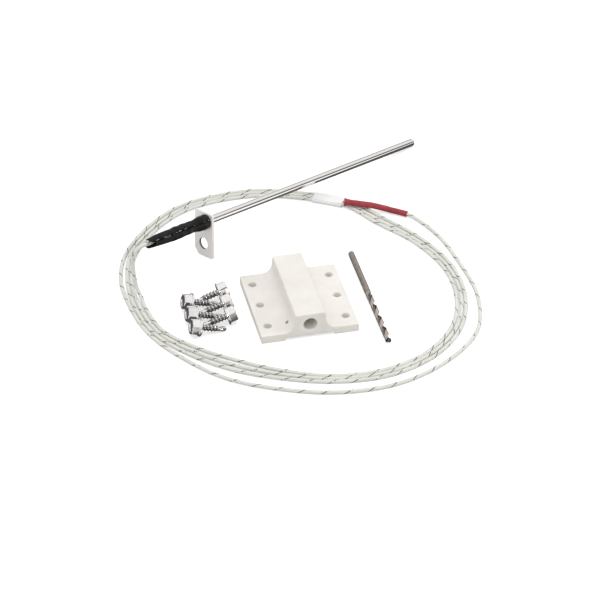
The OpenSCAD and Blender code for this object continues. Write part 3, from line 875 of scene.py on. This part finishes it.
def build_label(s):
    """A flat oval tube of film, a little slack, that holds three strands side by side."""
    along_way = Vector((math.cos(LABEL_TURN), math.sin(LABEL_TURN), 0.0))
    across_way = Vector((-math.sin(LABEL_TURN), math.cos(LABEL_TURN), 0.0))
    middle = Vector((*LABEL_SPOT, WRAP_Z))

    def section(along, inset):
        """A flat oval ring, dented between the strands."""
        w, h = LABEL_HALF_WIDE - inset, LABEL_HALF_HIGH - inset
        ring = []
        for k in range(LABEL_SIDES):
            a = TAU * k / LABEL_SIDES
            x = (w - h) * max(-1.0, min(1.0, 1.6 * math.cos(a))) + h * math.cos(a)
            z = h * math.sin(a)
            if abs(math.cos(a)) < 0.66:
                z /= max(abs(math.sin(a)), 0.75)
            z = max(-h, min(h, z))
            dent = 0.00012 * math.cos(TAU * x / STRAND_PITCH) if z > 0 else 0.0
            wave = 0.00008 * noise.noise(Vector((x * 300, along * 160, 3.0)))
            z += (dent + wave) * smoothstep(0.4, 0.9, math.sin(a))
            ring.append(middle + along * along_way + x * across_way + Vector((0, 0, z)))
        return ring

    stations = [s.wrap_length * (k / LABEL_STEPS - 0.5) for k in range(LABEL_STEPS + 1)]
    rings = [section(along, FILM_PLAY) for along in stations]
    rings += [section(along, FILM) for along in reversed(stations)]
    mesh = skin("label", rings, closed=True)
    return piece("label", mesh, "probe", make_white_wrap(s.wrap), ["label_wrap"], 50)


def build_sleeve(s):
    """The red sleeve on the lead's end: soft, cut square at the lead, flared at its open end."""
    line = smooth_route([Vector(p) for p in RED_ROUTE], SLEEVE_STEP)
    run = distances(line)
    outer, inner = [], []
    for at, p, (way, side) in zip(run, line, route_frames(line)):
        left = run[-1] - at
        flare = 0.0006 * smoothstep(0.006, 0.0, left) + 0.0004 * smoothstep(0.0012, 0.0, left)
        curl = -0.00025 * smoothstep(0.0008, 0.0, at)
        r = SLEEVE_R + flare + curl + 0.00012 * noise.noise(Vector((at * 220, 1.7, 0.0)))

        def lumpy(a, at=at, r=r):
            soft = noise.noise(Vector((at * 170, 1.1 * math.cos(a), 1.1 * math.sin(a))))
            return r + 0.00022 * soft

        outer.append(ring_about(p, way, side, lumpy, SLEEVE_SIDES))
        inner.append(ring_about(p, way, side, r - SLEEVE_WALL, SLEEVE_SIDES))
    mesh = skin("sleeve", outer + inner[::-1], closed=True, runs=run + run[::-1])
    return piece(
        "sleeve", mesh, "probe", make_red_sleeving(s.sleeve), ["red_sleeve"], 50
    )


# ---------------------------------------------------------------- the probe: sheath, plate and boot

SHEATH_R, SHEATH_BORE, SHEATH_SIDES = 0.0035, 0.0027, 48
SHEATH_TIP, TIP_WELD, NOSE_R = 0.26, 0.257, 0.0016
SHEATH_TAIL, TAIL_R, BORE_END = -0.016, 0.00325, 0.254
PLATE_THICK = 0.0024
PLATE_RIGHT, PLATE_LEFT, PLATE_TOP, PLATE_BOTTOM = -0.0075, 0.015, 0.0075, -0.0345
PLATE_CORNER, PLATE_CLIP = 0.0018, 0.005
# Middle and radius of the plate's two holes. Faces within LOWER_WALL_R of the lower one's middle
# are its wall, which gets painted shade.
SHEATH_HOLE = (0.0, 0.0, 0.00338)
LOWER_HOLE = (0.00375, -0.0225, 0.00525)
LOWER_WALL_R = 0.00532
# The boot's outside and inside, in rows of station along the probe and radius.
BOOT_OUTER = [
    (BOOT_END, 0.0039), (-0.0674, 0.00425), (-0.06, 0.0048), (-0.052, 0.0053), (-0.043, 0.0056),
    (-0.036, 0.0059), (-0.028, 0.00575), (-0.021, 0.00545), (-0.0165, 0.0053), (-0.0135, 0.0056),
    (-0.0105, 0.0063), (-0.0075, 0.00675), (-0.005, 0.0068), (-0.0012, 0.0067), (-0.0004, 0.0065),
    (0.0, 0.0062),
]
BOOT_INNER = [
    (BOOT_END, 0.0019), (-0.0392, 0.0019), (-0.039, 0.0025), (-0.0172, 0.0025), (-0.017, 0.00345),
    (-0.0064, 0.00345), (-0.0062, 0.0059), (0.0, 0.0059),
]
BOOT_SIDES, BOOT_STATIONS = 72, 130
NOTCH_DEEP, NOTCH_HALF = 0.007, 0.0034


def build_sheath(s):
    """The drawn tube and its welded tip as one polished skin, open at the tail."""
    r, bore, weld, nose = SHEATH_R, SHEATH_BORE, TIP_WELD, NOSE_R
    profile = [
        (SHEATH_TAIL, bore), (SHEATH_TAIL, 0.0032), (-0.0158, TAIL_R), (0.0, TAIL_R), (0.0, r),
    ]
    profile += [(0.0052 * k, r) for k in range(1, 49)]
    profile += [
        (weld - 0.0004, r), (weld - 0.00015, r - 0.00003), (weld, r - 0.00006),
        (weld + 0.00015, r - 0.00003), (weld + 0.0004, r),
    ]
    profile += [
        (SHEATH_TIP - nose + nose * math.sin(a), r - nose + nose * math.cos(a))
        for a in [math.radians(9 * k) for k in range(11)]
    ]
    profile += [(SHEATH_TIP, 0.0008), (SHEATH_TIP, 0.0), (BORE_END, 0.0), (BORE_END, bore)]
    mesh = welded(revolved("sheath", profile, SHEATH_SIDES, PROBE_PLACE))
    return piece(
        "sheath", mesh, "probe", make_polished_steel(s.sheath, s.sheath_roughness),
        ["sheath_tube", "tip_cap"], 40,
    )


def quarter(cx, cy, radius, first_deg):
    """A quarter turn of seven points about a middle."""
    angles = [math.radians(first_deg + 15 * k) for k in range(7)]
    return [(cx + radius * math.cos(a), cy + radius * math.sin(a)) for a in angles]


def hole_points(x, y, radius):
    angles = [TAU * k / 48 for k in range(48)]
    return [(x + radius * math.cos(a), y - radius * math.sin(a)) for a in angles]


def build_plate(s):
    """The mounting plate, cut from sheet, with rounded edges, one clipped corner and two holes."""
    right, left, top, bottom = PLATE_RIGHT, PLATE_LEFT, PLATE_TOP, PLATE_BOTTOM
    corner, clip = PLATE_CORNER, PLATE_CLIP
    outline = [
        *quarter(right + corner, bottom + corner, corner, 180),
        (left - clip, bottom),
        (left, bottom + clip),
        *quarter(left - corner, top - corner, corner, 0),
        *quarter(right + corner, top - corner, corner, 90),
    ]
    shape = bpy.data.curves.new("plate", "CURVE")
    shape.dimensions = "2D"
    shape.fill_mode = "BOTH"
    shape.extrude = PLATE_THICK / 2 - s.plate_edge
    shape.bevel_depth = s.plate_edge
    shape.bevel_resolution = 3
    shape.offset = -s.plate_edge
    for points in (outline, hole_points(*SHEATH_HOLE), hole_points(*LOWER_HOLE)):
        spline = shape.splines.new("POLY")
        spline.points.add(len(points) - 1)
        for point, (x, y) in zip(spline.points, points):
            point.co = (x, y, 0.0, 1.0)
        spline.use_cyclic_u = True
    mesh = curve_mesh(shape)
    stand = Matrix(((0, 0, 1, PLATE_THICK / 2), (1, 0, 0, 0), (0, 1, 0, 0), (0, 0, 0, 1)))
    mesh.transform(PROBE_PLACE @ stand)
    mesh.update()
    plate = piece(
        "plate", mesh, "probe", make_plate_steel("plate_steel", s.plate),
        ["mounting_plate"], 30,
    )
    back = PROBE_PLACE.inverted()

    def in_hole(p):
        at = back @ p
        return math.hypot(at.y - LOWER_HOLE[0], at.z - LOWER_HOLE[1]) < LOWER_WALL_R

    # Painted shade: the lower hole's wall gets a much darker copy of the plate's colour.
    paint(mesh, make_plate_steel("plate_hole_painted_shade", toned(s.plate, 0.16)), in_hole)
    return plate


def curve_mesh(shape):
    """The mesh of a filled curve."""
    thing = bpy.data.objects.new(shape.name, shape)
    bpy.context.scene.collection.objects.link(thing)
    mesh = settled(thing)
    bpy.data.curves.remove(shape)
    return mesh


def build_boot(s):
    """Shrink tubing drawn down on the collar, the crimps and the lead, with a notch at the lead."""

    def end_of(z):
        """Where the notched end stands at this height beside the axis."""
        return BOOT_END + NOTCH_DEEP * max(0.0, 1.0 - abs(z) / NOTCH_HALF)

    def lumps(x, a):
        y, z = math.cos(a), math.sin(a)
        broad = noise.noise(Vector((x * 120, 1.2 * y, 1.2 * z)))
        small = noise.noise(Vector((x * 330 + 9, 2.6 * y, 2.6 * z)))
        ridges = (
            math.sin(x * 700 + 0.9 * y + 1.4 * z)
            * smoothstep(-0.05, -0.04, x) * smoothstep(-0.001, -0.004, x)
        )
        fade = smoothstep(BOOT_END, -0.062, x) * smoothstep(0.0, -0.003, x)
        return s.boot_lumps * fade * (1.1 * broad + 0.3 * small + 0.35 * ridges)

    def ring(table, t, lumpy):
        points = []
        for k in range(BOOT_SIDES):
            a = TAU * k / BOOT_SIDES
            r = along_table(table, BOOT_END * (1 - t))
            x = end_of(r * math.sin(a)) * (1 - t)
            r = along_table(table, x)
            if lumpy:
                r += lumps(x, a)
            points.append(probe_point(x, r * math.cos(a), r * math.sin(a)))
        return points

    steps = [k / (BOOT_STATIONS - 1) for k in range(BOOT_STATIONS)]
    outer = [ring(BOOT_OUTER, t, True) for t in steps]
    inner = [ring(BOOT_INNER, t, False) for t in steps]
    mesh = skin("boot", outer + inner[::-1], closed=True)
    mesh.flip_normals()
    return piece(
        "boot", mesh, "probe", make_black_shrink(s.boot), ["heat_shrink_boot"], 50
    )


# ---------------------------------------------------------------- the ceramic block

BLOCK_LONG, BLOCK_HALF, BLOCK_HIGH = 0.09, 0.042, 0.024
FLANGE_HIGH = 0.0075
RIB_HALF, RIB_DRAFT, RIB_FILLET = 0.01275, math.radians(7), 0.009
RECESS_HALF, RECESS_HIGH = 0.021, 0.0026
BORE_R, BORE_Z, BORE_CHAMFER = 0.0058, 0.0134, 0.0007
SCREW_HOLE_R, SCREW_HOLE_X, SCREW_HOLE_Y = 0.00335, 0.0335, 0.0305
CUT_PAST = 0.001
FOUNDRY_MARKS = [
    # x, y, z, radius, depth (below nought raises the surface)
    (-0.0372, -0.1113, 0.009, 0.0022, 0.0022),
    (-0.0432, -0.0875, 0.0078, 0.0022, -0.0002),
    (-0.0615, -0.0905, 0.0075, 0.0016, 0.0008),
]
# The painted shade at the bottom of the first mark: where it is from the mark's own spot, and how
# wide.
PIT_SHIFT, PIT_R = Vector((0.0003, 0.0, -0.0006)), 0.0016


def block_section():
    """Half outline of the block across its bore, from the recess under it to the rib's top."""
    foot = RIB_HALF + (BLOCK_HIGH - FLANGE_HIGH) * math.tan(RIB_DRAFT)
    fillet_x = foot + RIB_FILLET * (1 - math.sin(RIB_DRAFT)) / math.cos(RIB_DRAFT)
    fillet_z = FLANGE_HIGH + RIB_FILLET
    points = [
        (0.0, RECESS_HIGH), (RECESS_HALF, RECESS_HIGH), (RECESS_HALF, 0.0), (BLOCK_HALF, 0.0),
        (BLOCK_HALF, FLANGE_HIGH),
    ]
    low, high = -90.0, -180.0 - math.degrees(RIB_DRAFT)
    for k in range(13):
        a = math.radians(low + (high - low) * k / 12)
        points.append((fillet_x + RIB_FILLET * math.cos(a), fillet_z + RIB_FILLET * math.sin(a)))
    points.append((RIB_HALF, BLOCK_HIGH))
    return points


def build_block(s):
    """The cast block: a drafted rib on two flanges, with its bore, six holes and foundry marks."""
    cx, cy = BLOCK_SPOT
    half = BLOCK_LONG / 2
    right = block_section()
    outline = right + [(-x, z) for x, z in reversed(right) if x > 0]
    rings = [[Vector((cx + x, cy + y, z)) for x, z in outline] for y in (-half, half)]
    body = bpy.data.objects.new("body", skin("body", rings))
    scene = bpy.context.scene
    scene.collection.objects.link(body)

    cutters = []

    def cutter(profile, matrix, sides):
        mesh = revolved("cutter", profile, sides, matrix, closed=False)
        made = bpy.data.objects.new("cutter", mesh)
        scene.collection.objects.link(made)
        cutters.append(made)

    mouth = BORE_R + BORE_CHAMFER + CUT_PAST
    cutter(
        [
            (-half - CUT_PAST, mouth), (-half + BORE_CHAMFER, BORE_R),
            (half - BORE_CHAMFER, BORE_R), (half + CUT_PAST, mouth),
        ],
        Matrix.Translation((cx, cy, BORE_Z)) @ Matrix.Rotation(math.pi / 2, 4, "Z"),
        64,
    )
    for x in (-SCREW_HOLE_X, SCREW_HOLE_X):
        for y in (-SCREW_HOLE_Y, 0.0, SCREW_HOLE_Y):
            cutter(
                [(-CUT_PAST, SCREW_HOLE_R), (FLANGE_HIGH + CUT_PAST, SCREW_HOLE_R)],
                Matrix.Translation((cx + x, cy + y, 0.0)) @ Matrix.Rotation(-math.pi / 2, 4, "Y"),
                48,
            )
    for i, tool in enumerate(cutters):
        cut = body.modifiers.new(f"cut_{i}", "BOOLEAN")
        cut.operation = "DIFFERENCE"
        cut.object = tool
        cut.solver = "EXACT"
    remesh = body.modifiers.new("remesh", "REMESH")
    remesh.mode = "VOXEL"
    remesh.voxel_size = s.voxel
    if s.rounding:
        soft = body.modifiers.new("soft", "SMOOTH")
        soft.factor = 0.5
        soft.iterations = s.rounding
    mesh = settled(body)
    for tool in cutters:
        bpy.data.objects.remove(tool)

    box_low = Vector((cx - BLOCK_HALF, cy - half, 0.0))
    box_high = Vector((cx + BLOCK_HALF, cy + half, BLOCK_HIGH))
    skin_points = [(vert.co.copy(), vert.normal.copy()) for vert in mesh.vertices]
    for vert, (p, n) in zip(mesh.vertices, skin_points):
        wave = noise.noise(p * 90) + 0.6 * noise.noise(p * 260)
        move = s.unevenness * (wave - 1.0)
        for x, y, z, radius, depth in FOUNDRY_MARKS:
            away = (p - Vector((x, y, z))).length
            if away < radius:
                move -= depth * (1 - (away / radius) ** 2) ** 2
        p = p + n * move
        vert.co = [min(high, max(low, c)) for c, low, high in zip(p, box_low, box_high)]
    mesh.update()
    block = piece(
        "block", mesh, "block", make_cast_ceramic("cast_ceramic", s.clay),
        ["mounting_block"], 60,
    )
    pit = Vector(FOUNDRY_MARKS[0][:3]) + PIT_SHIFT
    # Painted shade: the pit's bottom gets a much darker copy of the clay colour.
    dark_clay = make_cast_ceramic("clay_pit_painted_shade", toned(s.clay, 0.42, 0.34, 0.3))
    paint(mesh, dark_clay, lambda p: (p - pit).length < PIT_R)
    return block


# ---------------------------------------------------------------- drill and screws

DRILL_SPOT = (0.0415, -0.0165)
DRILL_R, DRILL_TOTAL, DRILL_FLUTED, DRILL_LEAD = 0.0026, 0.132, 0.072, 0.032
DRILL_WEB, DRILL_EDGE, DRILL_STEPS = 0.00065, 0.0004, 180
POINT_SLOPE = math.tan(math.radians(59))
MARGIN_TURN, LAND_SHARE = 0.32, 0.955
# How far past the shank the ground finish starts, and the share of the radius where a groove does.
FLUTE_START, GROOVE_SHARE = 0.0015, 0.9


def build_drill(s):
    """A twist drill on the table: plain shank, two ground flutes with margins, and a point."""
    r, edge = DRILL_R, DRILL_EDGE
    shank = DRILL_TOTAL - DRILL_FLUTED
    flute_r = 0.37 * 2 * r
    centre = DRILL_WEB + flute_r
    meet = math.acos((centre**2 + r**2 - flute_r**2) / (2 * centre * r))
    lie = Matrix.Translation((*DRILL_SPOT, r)) @ Matrix.Rotation(math.pi / 2, 4, "X")

    def radius_at(a):
        """The fluted section's radius, with a margin at the leading edge of each land."""
        a = (a + math.pi / 2) % math.pi - math.pi / 2
        if abs(a) < meet:
            inside = flute_r**2 - (centre * math.sin(a)) ** 2
            return min(r, centre * math.cos(a) - math.sqrt(max(0.0, inside)))
        past = (a - meet) if a > 0 else (math.pi + a - meet)
        return r if past < MARGIN_TURN else r * LAND_SHARE

    angles = []
    for half_turn in (0.0, math.pi):
        angles += [half_turn + meet * (k / 8 - 1) for k in range(17)]
        angles[-1] = half_turn + meet * 0.999
        angles += [half_turn + meet + d for d in (0.02, 0.16, 0.31, 0.34)]
        angles += [
            half_turn + meet + 0.34 + (math.pi - 2 * meet - 0.36) * k / 6 for k in range(1, 7)
        ]
    angles = sorted(a % TAU for a in angles)
    rings, runs = [], []

    def add_ring(z, turn, shape, limit):
        """A turned ring, from round (shape 0) to fluted (shape 1), and no wider than limit."""
        ring = []
        for a in angles:
            rho = min(limit, r + (radius_at(a) - r) * shape)
            ring.append(lie @ Vector((rho * math.cos(a + turn), rho * math.sin(a + turn), z)))
        rings.append(ring)
        runs.append(z)

    for z, limit in (
        (0.0, 0.0), (0.0, r - edge), (edge * 0.3, r - edge * 0.4), (edge, r), (edge + 0.001, r),
    ):
        add_ring(z, 0.0, 0.0, limit)
    for k in range(1, 12):
        add_ring(edge + 0.001 + (shank - edge - 0.003) * k / 11, 0.0, 0.0, r)
    for k in range(DRILL_STEPS + 1):
        z = shank + DRILL_FLUTED * k / DRILL_STEPS
        turn = TAU * (z - shank) / DRILL_LEAD
        runout = smoothstep(-0.001, 0.009, z - shank)
        cone = (DRILL_TOTAL - z) * POINT_SLOPE
        add_ring(z, turn, runout, max(0.00002, min(r, cone)))
    mesh = welded(skin("drill", rings, runs=runs, cap_first=False))
    shank_part = make_bronze_steel("drill_shank", s.shank, 0.3, 0.5)
    drill = piece("drill", mesh, "drill", shank_part, ["drill_bit"], 28)

    def fluted(p):
        return p.y < DRILL_SPOT[1] - shank - FLUTE_START

    def on_land(p):
        return math.hypot(p.x - DRILL_SPOT[0], p.z - r) > GROOVE_SHARE * r

    flutes = make_bronze_steel("drill_flutes", s.flutes, 0.12, 0.26)
    # Painted shade: the flutes' grooves get a much darker copy of the flute colour.
    grooves = make_bronze_steel("drill_grooves_painted_shade", toned(s.flutes, 0.22), 0.14, 0.26)
    paint(mesh, flutes, lambda p: fluted(p) and on_land(p))
    paint(mesh, grooves, lambda p: fluted(p) and not on_land(p))
    return drill


# Each screw's x, y, turn about Z and the turn of its head, in degrees.
SCREW_SPOTS = [
    (-0.109, -0.064, 2, 0), (-0.109, -0.0823, 2, 10), (-0.109, -0.1005, 2, 55),
    (-0.0844, -0.0546, 187, 18), (-0.0844, -0.0724, 186, 14), (-0.0844, -0.0899, 184, 12),
]
SCREW_SIDES = 72
WASHER_R, WASHER_T = 0.008, 0.0016
HEAD_HIGH, HEAD_HALF_FLATS, HEAD_CHAMFER_R = 0.0068, 0.00635, 0.00597
HEAD_TOP = -WASHER_T - HEAD_HIGH
THREAD_R, THREAD_END, THREAD_STEP = 0.0031, 0.014, 0.00024
PILOT_R, PILOT_STEPS = 0.0021, 22
SHANK_LEN, POINT_LEN = 0.0236, 0.0019
# A screw lies on its washer's rim, at 0, and on its shank here.
SHANK_REST = SHANK_LEN - 0.00189


def screw_mesh(s, spot, head_turn, name):
    """A hex washer-head screw with a coarse thread and a drilling point, about local Z."""
    core = s.core / 2
    start = math.radians(head_turn)
    rings, runs = [], []

    def hexagon(a):
        local = (a - start) % (TAU / 6) - TAU / 12
        return HEAD_HALF_FLATS / math.cos(local)

    def add(z, rule):
        """A ring at a station. The rule is a radius, or the radius as a function of the angle."""
        ring = []
        for k in range(SCREW_SIDES):
            a = TAU * k / SCREW_SIDES
            r = rule(a) if callable(rule) else rule
            ring.append(spot @ Vector((r * math.cos(a), r * math.sin(a), z)))
        rings.append(ring)
        runs.append(z)

    for depth, radius in (
        (0.0009, 0.0), (0.0009, 0.0026), (0.00055, 0.0038), (0.0001, 0.0045), (0.0, 0.0048),
    ):
        add(HEAD_TOP + depth, radius)
    for depth in (0.0, 0.00015, 0.0004, 0.0007, 0.001, 0.0013):
        add(HEAD_TOP + depth, lambda a, d=depth: min(hexagon(a), HEAD_CHAMFER_R + d * 1.375))
    for z, rule in (
        (-WASHER_T - 0.0008, hexagon),
        (-WASHER_T - 0.0003, lambda a: hexagon(a) + 0.0001),
        (-WASHER_T, lambda a: min(hexagon(a) + 0.0003, WASHER_R - 0.0006)),
        (-WASHER_T + 0.00014, WASHER_R - 0.0005),
        (-WASHER_T * 0.62, WASHER_R - 0.00018),
        (-WASHER_T * 0.42, WASHER_R),
        (-WASHER_T * 0.15, WASHER_R),
        (0.0, WASHER_R - 0.0002),
        (0.0, core + 0.0006),
        (0.0004, core + 0.0001),
    ):
        add(z, rule)

    def thread(z):
        grown = (
            smoothstep(0.0002, 0.002, z) * smoothstep(THREAD_END + 0.0006, THREAD_END - 0.0022, z)
        )

        def rule(a):
            phase = (z / s.pitch - a / TAU) % 1.0
            off = abs(phase - 0.5) * s.pitch
            rise = max(0.0, 1.0 - max(0.0, off - 0.00028) / 0.0006)
            return core + (THREAD_R - core) * rise * grown
        return rule

    z = 0.0006
    while z < THREAD_END + 0.0006:
        add(z, thread(z))
        z += THREAD_STEP

    def pilot(z):
        depth = smoothstep(THREAD_END + 0.0006, THREAD_END + 0.0022, z)
        cone = (SHANK_LEN - z) / POINT_LEN

        def rule(a):
            groove = max(0.0, math.cos(2 * (a - 900 * (z - THREAD_END) * 0.25)) - 0.25) / 0.75
            r = PILOT_R * (1 - 0.42 * groove * depth)
            return r * min(1.0, max(0.02, cone))
        return rule

    add(THREAD_END + 0.0009, core * 0.5 + PILOT_R * 0.5)
    for k in range(PILOT_STEPS + 1):
        z = THREAD_END + 0.0012 + (SHANK_LEN - THREAD_END - 0.0012) * k / PILOT_STEPS
        add(z, pilot(z))
    return welded(skin(name, rings, runs=runs, cap_first=False))


def build_screws(s):
    """Six screws lying on the table, with painted shade in the thread roots and in the dish of each
    head.
    """
    slope = math.degrees(math.atan((WASHER_R - PILOT_R) / SHANK_REST))
    zinc = make_zinc_steel("zinc_steel", s.zinc)
    # Painted shade: a much darker zinc for the thread roots and the dish in each head.
    root = make_zinc_steel("thread_root_painted_shade", toned(s.zinc, 0.3))
    for i, (x, y, turn, head) in enumerate(SCREW_SPOTS, 1):
        spot = place((x, y, WASHER_R * math.cos(math.radians(slope))), 0, 90 + slope, turn)
        mesh = screw_mesh(s, spot, head, f"screw_piece_{i}")
        piece(f"screw_piece_{i}", mesh, f"loose_screw_{i}", zinc, [f"screw_{i}"], 32)

        def recessed(p, back=spot.inverted()):
            at = back @ p
            out = math.hypot(at.x, at.y)
            in_thread = 0.0009 < at.z < 0.0145 and out < s.core / 2 + 0.0003
            return in_thread or (at.z < -0.00825 and out < 0.0045)

        paint(mesh, root, recessed)


# ---------------------------------------------------------------- hidden pieces

INNER = [
    # material, slot, colour, metallic, roughness, size of pores, pieces
    (
        "sensor_alloy", "sensor_alloy", (0.32, 0.3, 0.28), 1.0, 0.4, 0.0,
        ["sensing_junction", "sensor_wire_a", "sensor_wire_b", "lead_conductor_a",
         "lead_conductor_b"],
    ),
    (
        "bead_ceramic", "bead_ceramic", (0.8, 0.76, 0.68), 0.0, 0.5, 0.12,
        ["insulator_1", "insulator_2", "insulator_3"],
    ),
    ("cement", "cement", (0.55, 0.45, 0.33), 0.0, 0.8, 0.2, ["end_potting"]),
    ("braze_metal", "plate_steel", (0.6, 0.56, 0.5), 0.9, 0.35, 0.0, ["braze_collar"]),
    (
        "crimp_brass", "crimp_brass", (0.72, 0.5, 0.22), 1.0, 0.35, 0.0,
        ["splice_crimp_a", "splice_crimp_b", "lead_terminal"],
    ),
]


def dress_inner():
    """Puts materials and slots on the CAD's own wires, beads, crimps and other inner pieces."""
    for name, slot_name, tint, metallic, roughness, pore, nodes in INNER:
        material = make_inner(name, tint, metallic, roughness, pore)
        for node in nodes:
            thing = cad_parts[node]
            thing.data.materials.clear()
            thing.data.materials.append(material)


# ---------------------------------------------------------------- operators, panel and the run


class ProbeStageOperator(bpy.types.Operator):
    """Set up the camera, the table and the light"""
    bl_idname = "flame_probe.stage"
    bl_label = "Stage"

    def execute(self, context):
        build_stage(context.scene.flame_probe_stage)
        return {"FINISHED"}


class ProbeLeadOperator(bpy.types.Operator):
    """Lay the braided lead in its turns, with its label and red sleeve"""
    bl_idname = "flame_probe.lead"
    bl_label = "Lead, Label and Sleeve"

    def execute(self, context):
        s = context.scene.flame_probe_lead
        lead, path = build_lead(s)
        label = build_label(s)
        sleeve = build_sleeve(s)
        return {"FINISHED"}


class ProbeRodOperator(bpy.types.Operator):
    """Make the polished sheath, the mounting plate and the shrink boot"""
    bl_idname = "flame_probe.rod"
    bl_label = "Sheath, Plate and Boot"

    def execute(self, context):
        s = context.scene.flame_probe_rod
        build_sheath(s)
        build_plate(s)
        build_boot(s)
        return {"FINISHED"}


class ProbeBlockOperator(bpy.types.Operator):
    """Cast the ceramic mounting block"""
    bl_idname = "flame_probe.block"
    bl_label = "Ceramic Block"

    def execute(self, context):
        build_block(context.scene.flame_probe_block)
        return {"FINISHED"}


class ProbeHardwareOperator(bpy.types.Operator):
    """Make the twist drill and the six screws"""
    bl_idname = "flame_probe.hardware"
    bl_label = "Drill and Screws"

    def execute(self, context):
        s = context.scene.flame_probe_hardware
        build_drill(s)
        build_screws(s)
        return {"FINISHED"}


class ProbeInnerOperator(bpy.types.Operator):
    """Give the wires, beads, crimps and other inner pieces their materials"""
    bl_idname = "flame_probe.inner"
    bl_label = "Inner Pieces"

    def execute(self, context):
        dress_inner()
        return {"FINISHED"}


class ProbePanel(bpy.types.Panel):
    """Lists the probe's pieces and their settings"""
    bl_label = "Flame Sensor Probe"
    bl_idname = "VIEW3D_PT_flame_probe"
    bl_space_type = "VIEW_3D"
    bl_region_type = "UI"
    bl_category = "Flame Probe"

    def draw(self, context):
        for operator, settings in STEPS:
            box = self.layout.box()
            box.operator(operator.bl_idname)
            group = getattr(context.scene, settings, None) if settings else None
            for name in group.__annotations__ if group else ():
                box.prop(group, name)


STEPS = [
    (ProbeStageOperator, "flame_probe_stage"),
    (ProbeLeadOperator, "flame_probe_lead"),
    (ProbeRodOperator, "flame_probe_rod"),
    (ProbeBlockOperator, "flame_probe_block"),
    (ProbeHardwareOperator, "flame_probe_hardware"),
    (ProbeInnerOperator, None),
]
SETTINGS = {
    "flame_probe_stage": ProbeStageSettings,
    "flame_probe_lead": ProbeLeadSettings,
    "flame_probe_rod": ProbeRodSettings,
    "flame_probe_block": ProbeBlockSettings,
    "flame_probe_hardware": ProbeHardwareSettings,
}


def register():
    for kind in (*SETTINGS.values(), *(operator for operator, _ in STEPS), ProbePanel):
        bpy.utils.register_class(kind)
    for name, kind in SETTINGS.items():
        setattr(bpy.types.Scene, name, bpy.props.PointerProperty(type=kind))


def unregister():
    for name in SETTINGS:
        delattr(bpy.types.Scene, name)
    for kind in (ProbePanel, *(operator for operator, _ in reversed(STEPS)), *SETTINGS.values()):
        bpy.utils.unregister_class(kind)


def main():
    register()
    bpy.ops.flame_probe.stage()
    bpy.ops.flame_probe.lead()
    bpy.ops.flame_probe.rod()
    bpy.ops.flame_probe.block()
    bpy.ops.flame_probe.hardware()
    bpy.ops.flame_probe.inner()


if __name__ == "__main__":
    main()
